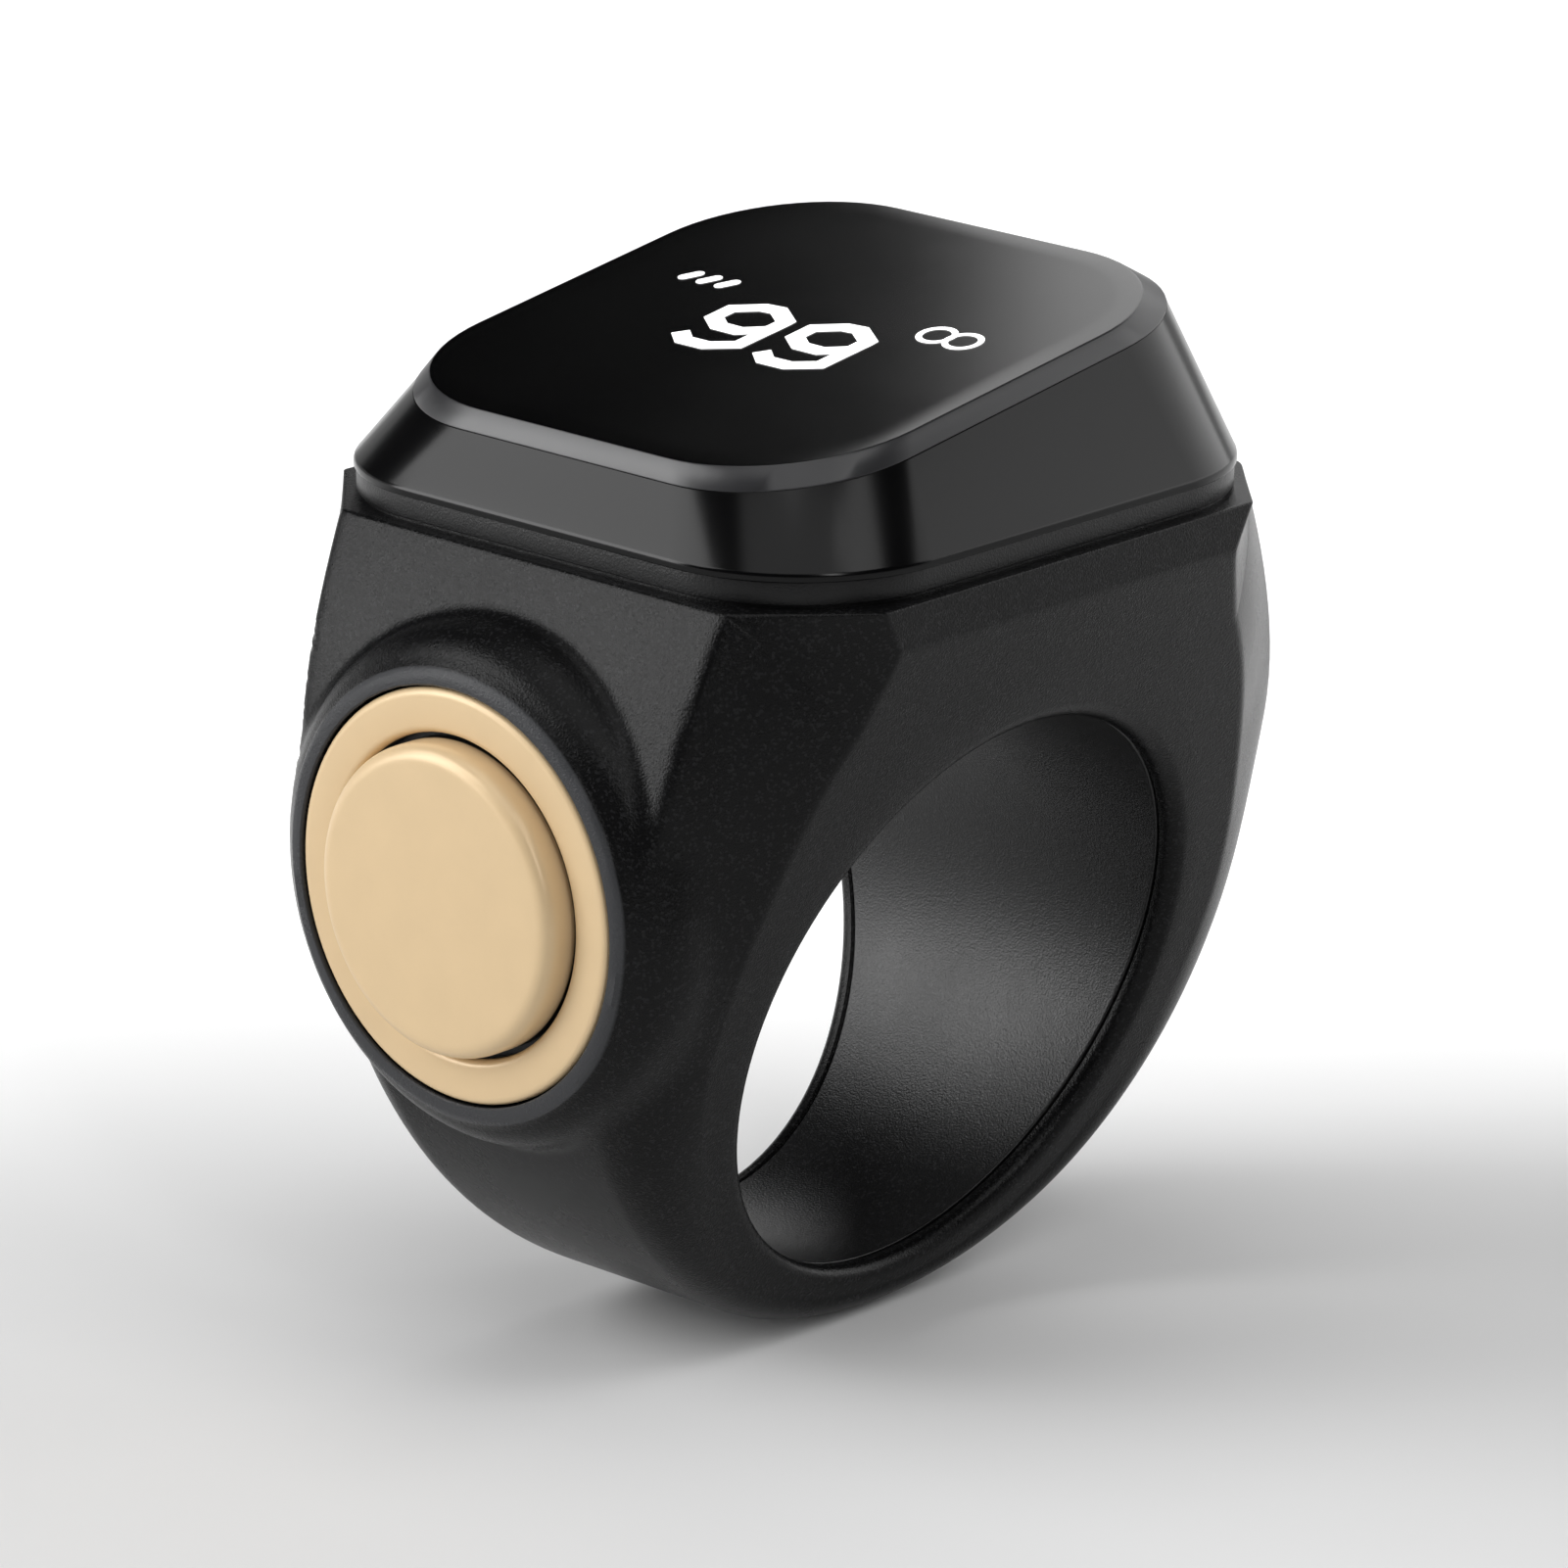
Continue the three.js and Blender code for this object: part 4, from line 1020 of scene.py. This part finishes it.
def grained_plastic(name, colour, roughness, grains, depth, specular, spark=0.0, rim=None):
    """Moulded plastic: grain, slight change of shade, gloss that varies, a few bright grains."""
    material, tree, shader = new_finish(name, colour, roughness, Specular_IOR_Level=specular)
    grain = place_group(tree, "Moulded grain", Grains_per_mm=grains, Spark_share=spark)
    marks = place_group(tree, "Handling marks")
    made = vary_shade(tree, shader, grain["Shade"], colour, 0.75, 1.25)
    if spark > 0:
        made = mixed(tree, grain["Spark"], made, shaded(colour, SPARK_GAIN))
    # Painted reflection: the body's flat rim round the button gets a grey base colour in place of
    # the lamp it reflects
    if rim:
        made = mixed(tree, further_out(tree, BOSS_FACE - PAINTED_RIM_REFLECTION_DEPTH), made, rim)
    fill(tree, shader, {"Base Color": made})
    vary_roughness(tree, shader, marks["Value"], roughness * 0.9, roughness * 1.1)
    emboss(tree, shader, grain["Height"], depth)
    return material


def handled(name, colour, roughness, patches, shades, gloss, depth, strength=1.0, **settings):
    """Smooth finish whose shade, gloss and height vary with the marks of handling."""
    material, tree, shader = new_finish(name, colour, roughness, **settings)
    marks = place_group(tree, "Handling marks", Patches_per_mm=patches)["Value"]
    vary_shade(tree, shader, marks, colour, *shades)
    vary_roughness(tree, shader, marks, *gloss)
    emboss(tree, shader, marks, depth, strength)
    return material


def cover_gloss(name):
    return handled(
        name, chosen("cover"), 0.18, patches=0.2, shades=(0.85, 1.15), gloss=(0.16, 0.2),
        depth=0.002, strength=0.3, Specular_IOR_Level=0.2,
    )


def battery_foil(name):
    """Laminated pouch: satin silver with shallow wrinkles."""
    return handled(
        name, linear((0.77, 0.78, 0.8)), 0.36, patches=0.9, shades=(0.88, 1.05),
        gloss=(0.28, 0.44), depth=0.06, Metallic=0.9,
    )


def display_glass(name):
    """Polished black glass whose ground bevel is satin and paler."""
    colour = chosen("glass")
    material, tree, shader = new_finish(name, colour, 0.12, Specular_IOR_Level=0.5)
    marks = place_group(tree, "Handling marks", Patches_per_mm=0.15)
    normal = node(tree, "NewGeometry").outputs["True Normal"]
    top = Vector((-DISPLAY_SLOPE, 0, 1)).normalized()
    facing = node(tree, "VectorMath", {0: normal, 1: top}, operation="DOT_PRODUCT")
    ground = math_node(tree, "LESS_THAN", facing.outputs["Value"], BEVEL_FACING)
    polished = math_node(tree, "MULTIPLY_ADD", marks["Value"], 0.06, 0.12)
    fill(tree, shader, {
        "Base Color": mixed(tree, ground, colour, BEVEL_COLOUR),
        "Roughness": math_node(tree, "MULTIPLY_ADD", ground, BEVEL_ROUGHNESS, polished),
    })
    return material


def lit_display(name):
    """Lit figures: an even light with the faint unevenness of a diffuser behind them."""
    colour = chosen("figures")
    material, tree, shader = new_finish(name, colour, 0.5, Emission_Strength=1.0)
    marks = place_group(tree, "Handling marks", Patches_per_mm=1.5)
    glow = mixed(tree, marks["Value"], shaded(colour, 0.92), colour)
    fill(tree, shader, {"Emission Color": glow})
    return material


def champagne_satin(name):
    """Satin coat of the cap and bezel, with painted shade: dark colour painted down in the gap
    between them.
    """
    colour = chosen("button")
    material, tree, shader = new_finish(
        name, colour, 0.38, Metallic=0.1, Specular_IOR_Level=0.4,
    )
    grain = place_group(tree, "Moulded grain", Grains_per_mm=16.0, Spark_share=0.0)
    marks = place_group(tree, "Handling marks", Patches_per_mm=0.3)
    coat = vary_shade(tree, shader, grain["Shade"], colour, 0.96, 1.04)
    # Painted shade: the coat is painted near-black deeper than this, down in the gap between cap
    # and bezel
    outside = further_out(tree, BOSS_FACE - PAINTED_GAP_SHADE_DEPTH)
    fill(tree, shader, {"Base Color": mixed(tree, outside, PAINTED_GAP_SHADE, coat)})
    vary_roughness(tree, shader, marks["Value"], 0.31, 0.37)
    emboss(tree, shader, grain["Height"], 0.0015, 0.5)
    return material


def drawn_metal(name, colour, roughness, lines, depth):
    material, tree, shader = new_finish(name, colour, roughness, Metallic=1.0)
    height = place_group(tree, "Drawn lines", Lines_per_mm=lines)["Height"]
    vary_shade(tree, shader, height, colour, 0.82, 1.1)
    vary_roughness(tree, shader, height, roughness * 0.8, roughness * 1.25)
    emboss(tree, shader, height, depth)
    return material


def board_green(name):
    """Solder mask over glass weave, with copper showing faintly as lighter tracks."""
    colour = linear((0.12, 0.35, 0.23))
    material, tree, shader = new_finish(name, colour, 0.38)
    weave = place_group(tree, "Drawn lines", Lines_per_mm=5.0)
    tracks = node(tree, "TexBrick", {
        "Vector": place_in_mm(tree), "Scale": 0.9, "Mortar Size": 0.06,
        "Color1": colour, "Color2": shaded(colour, 0.85), "Mortar": shaded(colour, 1.5),
    })
    fill(tree, shader, {"Base Color": tracks.outputs["Color"]})
    emboss(tree, shader, weave["Height"], 0.01)
    return material


def ribbon_film(name):
    """Amber film over copper tracks that run along the ribbon."""
    colour = linear((0.71, 0.45, 0.17))
    material, tree, shader = new_finish(name, colour, 0.3, Specular_IOR_Level=0.5)
    sockets = {"Vector": object_place(tree), "Scale": 0.8 / MM}
    tracks = node(tree, "TexWave", sockets, bands_direction="Y")
    vary_shade(tree, shader, tracks.outputs["Fac"], colour, 0.75, 1.15)
    marks = place_group(tree, "Handling marks", Patches_per_mm=0.6)
    vary_roughness(tree, shader, marks["Value"], 0.24, 0.38)
    return material


FINISHES = {maker.__name__: maker for maker in (
    cover_gloss, display_glass, lit_display, champagne_satin, board_green, battery_foil,
    ribbon_film,
)}


def finish(slot):
    """The finish of a material slot, made once."""
    name = f"{slot}_finish"
    if name in bpy.data.materials:
        return bpy.data.materials[name]
    if slot in SHELL_PLASTICS:
        factor, *settings = SHELL_PLASTICS[slot]
        return grained_plastic(name, shaded(chosen("shell"), factor), *settings)
    for made, table in ((grained_plastic, PLAIN_PLASTICS), (drawn_metal, METALS)):
        if slot in table:
            colour, *settings = table[slot]
            return made(name, linear(colour), *settings)
    return FINISHES[slot](name)


COLOUR = {"subtype": "COLOR", "size": 3, "min": 0, "max": 1}


class CounterRingColours(bpy.types.PropertyGroup):
    """Colours of the parts that show."""

    shell: FloatVectorProperty(
        name="Shell", description="Moulded plastic of the band",
        default=(0.0035, 0.0035, 0.0037), **COLOUR,
    )
    cover: FloatVectorProperty(
        name="Cover", description="Gloss plastic round the display",
        default=(0.002, 0.002, 0.0022), **COLOUR,
    )
    glass: FloatVectorProperty(
        name="Glass", description="Black backing of the display glass",
        default=(0.0006, 0.0006, 0.0007), **COLOUR,
    )
    button: FloatVectorProperty(
        name="Button", description="Satin coat of the cap and its bezel",
        default=(0.69, 0.513, 0.3), **COLOUR,
    )
    figures: FloatVectorProperty(
        name="Figures", description="Light of the display's figures",
        default=(1.0, 1.0, 1.0), **COLOUR,
    )


class CounterRingSizes(bpy.types.PropertyGroup):
    """Stroke widths of the lit figures."""

    figure_width: FloatProperty(
        name="Figures", description="Stroke width of the two figures of the count",
        unit="LENGTH", precision=5, default=0.62 * MM, min=0.1 * MM,
    )
    bar_width: FloatProperty(
        name="Bars", description="Width of the short bars",
        unit="LENGTH", precision=5, default=0.42 * MM, min=0.1 * MM,
    )
    link_width: FloatProperty(
        name="Linked rings", description="Stroke width of the linked rings",
        unit="LENGTH", precision=5, default=0.22 * MM, min=0.1 * MM,
    )


class CounterRingStage(bpy.types.PropertyGroup):
    """Floor, lamps and camera."""

    floor_radius: FloatProperty(
        name="Floor radius", description="Reach of the floor round the ring",
        unit="LENGTH", default=4.0, min=1.0,
    )
    lamp_strength: FloatProperty(
        name="Lamp strength", description="Multiplies the power of every lamp",
        default=1.0, min=0.0,
    )
    camera_azimuth: FloatProperty(
        name="Camera azimuth", description="Direction of the camera round the ring",
        subtype="ANGLE", default=math.radians(-47.125),
    )
    camera_elevation: FloatProperty(
        name="Camera elevation", description="Height of the camera above the horizon",
        subtype="ANGLE", default=math.radians(17.6835),
    )
    camera_roll: FloatProperty(
        name="Camera roll", description="Tilt of the picture",
        subtype="ANGLE", default=math.radians(0.3733),
    )
    camera_distance: FloatProperty(
        name="Camera distance", description="Distance from the camera to the finger hole",
        unit="LENGTH", default=0.29466,
    )
    camera_lens: FloatProperty(
        name="Lens", description="Focal length of the camera in millimetres", default=201.705,
    )


CAMERA_OFFSET = (-0.2967, 5.3772)
SENSOR_WIDTH = 36.0
CLIP_RANGE = (0.01, 100.0)
LAMP_DISTANCE = 0.6
WORLD_STRENGTH = 0.01
# Floor's own light: plain in front of the ring and white behind it, in metres behind the ring
FLOOR_BACKWARD = (0.733, 0.68, 0.0)
FLOOR_PLAIN_AT = -0.002
FLOOR_WHITE_AT = 0.045
FLOOR_GLOW = 0.5
FLOOR_GREY = (0.8, 0.8, 0.8, 1.0)
FLOOR_DARKER = (0.79, 0.79, 0.79, 1.0)
FLOOR_LIGHTER = (0.81, 0.81, 0.81, 1.0)
# Loops of the floor and its rising rim, as shares of its radius out and up
FLOOR_LOOPS = ((0.02, 0), (0.3, 0), (0.6, 0), (0.8, 0.02), (0.93, 0.08), (1.0, 0.2))
FLOOR_STEPS = 96
# Lamps: direction round the ring and height in degrees, width and height in degrees, level
LAMPS = (
    ("left_back_low_lamp", -133, 14, 22, 28, 8.0),
    ("left_back_high_lamp", -131, 38, 42, 20, 4.8),
    ("right_back_lamp", 115.7, 30, 34, 30, 1.6),
    ("front_right_lamp", 66, 20, 52, 38, 2.1),
    ("front_patch_lamp", -24, 30, 8, 28, 7.0),
    ("high_left_lamp", -55, 60, 42, 26, 1.4),
    ("high_front_lamp", 3, 54, 18, 18, 3.0),
    ("top_lamp", 180, 86, 36, 36, 1.3),
)


def outward(azimuth, elevation):
    """Direction away from the ring, by its azimuth from the front and its elevation."""
    return Vector((
        math.sin(azimuth) * math.cos(elevation),
        -math.cos(azimuth) * math.cos(elevation),
        math.sin(elevation),
    ))


def add_camera(stage):
    back = outward(stage.camera_azimuth, stage.camera_elevation)
    level = (-back).cross(Vector((0, 0, 1))).normalized()
    upright = level.cross(-back)
    cos, sin = math.cos(stage.camera_roll), math.sin(stage.camera_roll)
    right, up = level * cos + upright * sin, upright * cos - level * sin
    data = bpy.data.cameras.new("camera")
    data.lens = stage.camera_lens
    data.sensor_width = SENSOR_WIDTH
    data.clip_start, data.clip_end = CLIP_RANGE
    camera = add_object("camera", data)
    place = back * stage.camera_distance + (right * CAMERA_OFFSET[0] + up * CAMERA_OFFSET[1]) * MM
    turn = Matrix((right, up, back)).transposed().to_4x4()
    camera.matrix_world = Matrix.Translation(place) @ turn
    bpy.context.scene.camera = camera


def add_softbox(name, azimuth, elevation, width, height, level, strength):
    """Rectangular lamp that faces the ring, by its direction, its spread in degrees, its level."""
    data = bpy.data.lights.new(name, "AREA")
    data.shape = "RECTANGLE"
    data.size = 2 * LAMP_DISTANCE * math.tan(math.radians(width / 2))
    data.size_y = 2 * LAMP_DISTANCE * math.tan(math.radians(height / 2))
    data.energy = level * math.pi * data.size * data.size_y * strength
    lamp = add_object(name, data)
    heading = outward(math.radians(azimuth), math.radians(elevation))
    lamp.location = heading * LAMP_DISTANCE
    lamp.rotation_mode = "QUATERNION"
    lamp.rotation_quaternion = heading.to_track_quat("Z", "Y")


def floor_material():
    """Pale floor that keeps the shadow: plain in front of the ring, white behind it."""
    material, tree, shader = new_finish(
        "pale_floor", FLOOR_GREY, 0.9, Specular_IOR_Level=0.0, Emission_Strength=1.0,
    )
    marks = place_group(tree, "Handling marks", Patches_per_mm=0.01)
    sockets = {0: object_place(tree), 1: FLOOR_BACKWARD}
    behind = node(tree, "VectorMath", sockets, operation="DOT_PRODUCT").outputs["Value"]
    white = ramp(tree, behind, FLOOR_PLAIN_AT, FLOOR_WHITE_AT, kind="SMOOTHSTEP")
    path = node(tree, "LightPath").outputs
    seen = math_node(tree, "ADD", path["Is Camera Ray"], path["Is Glossy Ray"])
    seen = math_node(tree, "ADD", seen, path["Is Transmission Ray"])
    glow = math_node(tree, "MULTIPLY", white, FLOOR_GLOW)
    fill(tree, shader, {
        "Base Color": mixed(tree, marks["Value"], FLOOR_DARKER, FLOOR_LIGHTER),
        "Emission Color": math_node(tree, "MULTIPLY", seen, glow),
    })
    return material


def floor_mesh(radius):
    """Round floor under the ring with a low rising rim all round."""
    mesh = bpy.data.meshes.new("floor")
    angles = turns(FLOOR_STEPS)
    loops = []
    for share, rise in FLOOR_LOOPS:
        r = radius * share
        z = np.full(FLOOR_STEPS, BOTTOM_Z * MM + radius * rise)
        loops.append(np.stack([r * np.cos(angles), r * np.sin(angles), z], axis=1))
    points, faces = skin(loops)
    mesh.from_pydata(points.tolist(), [], faces[:-1])
    mesh.shade_smooth()
    mesh.materials.append(floor_material())
    return mesh


class COUNTER_RING_OT_stage(bpy.types.Operator):
    """Adds the pale floor, the soft lamps, the plain surroundings and the camera"""

    bl_idname = "counter_ring.stage"
    bl_label = "Stage"

    def execute(self, context):
        stage = context.scene.counter_ring_stage
        add_object("floor", floor_mesh(stage.floor_radius))
        world = bpy.data.worlds.new("surroundings")
        world.use_nodes = True
        background = world.node_tree.nodes["Background"]
        background.inputs["Color"].default_value = (1, 1, 1, 1)
        background.inputs["Strength"].default_value = WORLD_STRENGTH
        context.scene.world = world
        for lamp in LAMPS:
            add_softbox(*lamp, stage.lamp_strength)
        add_camera(stage)
        context.scene.view_settings.view_transform = "Standard"
        return {"FINISHED"}


class COUNTER_RING_OT_shell(bpy.types.Operator):
    """Adds the band with its head and boss, and the sleeve in the finger hole"""

    bl_idname = "counter_ring.shell"
    bl_label = "Shell"

    def execute(self, context):
        add_piece("shell", shell_mesh(), "body_plastic", stands_for="ring_body")
        add_piece("liner", liner_mesh(), "liner_plastic", stands_for="inner_liner")
        return {"FINISHED"}


class COUNTER_RING_OT_head(bpy.types.Operator):
    """Adds the neck, the glossy cover and the display glass"""

    bl_idname = "counter_ring.head"
    bl_label = "Head"

    def execute(self, context):
        add_piece("neck", neck_mesh(), "frame_plastic", stands_for="mid_frame")
        add_piece("cover", cover_mesh(), "cover_gloss", stands_for="top_cover")
        add_piece("glass", glass_mesh(), "display_glass", stands_for="display_glass")
        return {"FINISHED"}


class COUNTER_RING_OT_figures(bpy.types.Operator):
    """Adds the lit figures of the count, the short bars and the linked rings"""

    bl_idname = "counter_ring.figures"
    bl_label = "Lit figures"

    def execute(self, context):
        sizes = context.scene.counter_ring_sizes
        width = sizes.figure_width / MM
        for name, side in (("count_tens", -1), ("count_units", 1)):
            shift = (FIGURE_CENTRE + side * FIGURE_PITCH / 2, FIGURE_BASE)
            bowl = np.array(NINE_BOWL) + shift
            tail = np.array(NINE_TAIL) + shift
            add_marks(name, [stroke(bowl, width, True), stroke(tail, width)])
        width = sizes.bar_width / MM
        add_marks("short_bars", [short_bar(index, width) for index in range(BAR_COUNT)])
        angles = turns(LINK_STEPS)
        circle = np.stack([np.cos(angles), np.sin(angles)], axis=1) * LINK_R
        width = sizes.link_width / MM
        rings = [stroke(circle + centre, width, True) for centre in LINK_CENTRES]
        add_marks("linked_rings", rings)
        return {"FINISHED"}


class COUNTER_RING_OT_button(bpy.types.Operator):
    """Adds the push button's bezel and its cap"""

    bl_idname = "counter_ring.button"
    bl_label = "Push button"

    def execute(self, context):
        add_piece("bezel", bezel_mesh(), "champagne_satin", stands_for="button_bezel")
        add_piece("cap", cap_mesh(), "champagne_satin", "button", stands_for="button_cap")
        return {"FINISHED"}


class COUNTER_RING_OT_inner_parts(bpy.types.Operator):
    """Gives the parts inside the ring their finishes, and gives the spring a mesh of its own"""

    bl_idname = "counter_ring.inner_parts"
    bl_label = "Inner parts"

    def execute(self, context):
        for row in frame["record"]["subparts"]:
            part = frame["nodes"].get(row["node"])
            if part is None:
                raise RuntimeError(f"the frame has no node {row['node']}")
            part.data.materials.clear()
            part.data.materials.append(finish(row["material_slot"]))
        spring = frame["nodes"]["return_spring"]
        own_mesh(spring)
        return {"FINISHED"}


STEPS = (
    COUNTER_RING_OT_inner_parts,
    COUNTER_RING_OT_shell,
    COUNTER_RING_OT_head,
    COUNTER_RING_OT_figures,
    COUNTER_RING_OT_button,
    COUNTER_RING_OT_stage,
)
SETTINGS = {
    "counter_ring_colours": CounterRingColours,
    "counter_ring_sizes": CounterRingSizes,
    "counter_ring_stage": CounterRingStage,
}


class COUNTER_RING_PT_panel(bpy.types.Panel):
    """Lists the steps that build the ring, and its settings"""

    bl_idname = "COUNTER_RING_PT_panel"
    bl_label = "Counter ring"
    bl_space_type = "VIEW_3D"
    bl_region_type = "UI"
    bl_category = "Counter ring"

    def draw(self, context):
        for name, kind in SETTINGS.items():
            for key in kind.__annotations__:
                self.layout.prop(getattr(context.scene, name), key)
        for step in STEPS:
            self.layout.operator(step.bl_idname)


CLASSES = (*SETTINGS.values(), *STEPS, COUNTER_RING_PT_panel)


def register():
    for item in CLASSES:
        bpy.utils.register_class(item)
    for name, kind in SETTINGS.items():
        setattr(bpy.types.Scene, name, PointerProperty(type=kind))


def unregister():
    for name in SETTINGS:
        delattr(bpy.types.Scene, name)
    for item in reversed(CLASSES):
        bpy.utils.unregister_class(item)


def main():
    register()
    bpy.ops.counter_ring.inner_parts()
    bpy.ops.counter_ring.shell()
    bpy.ops.counter_ring.head()
    bpy.ops.counter_ring.figures()
    bpy.ops.counter_ring.button()
    bpy.ops.counter_ring.stage()


if __name__ == "__main__":
    main()
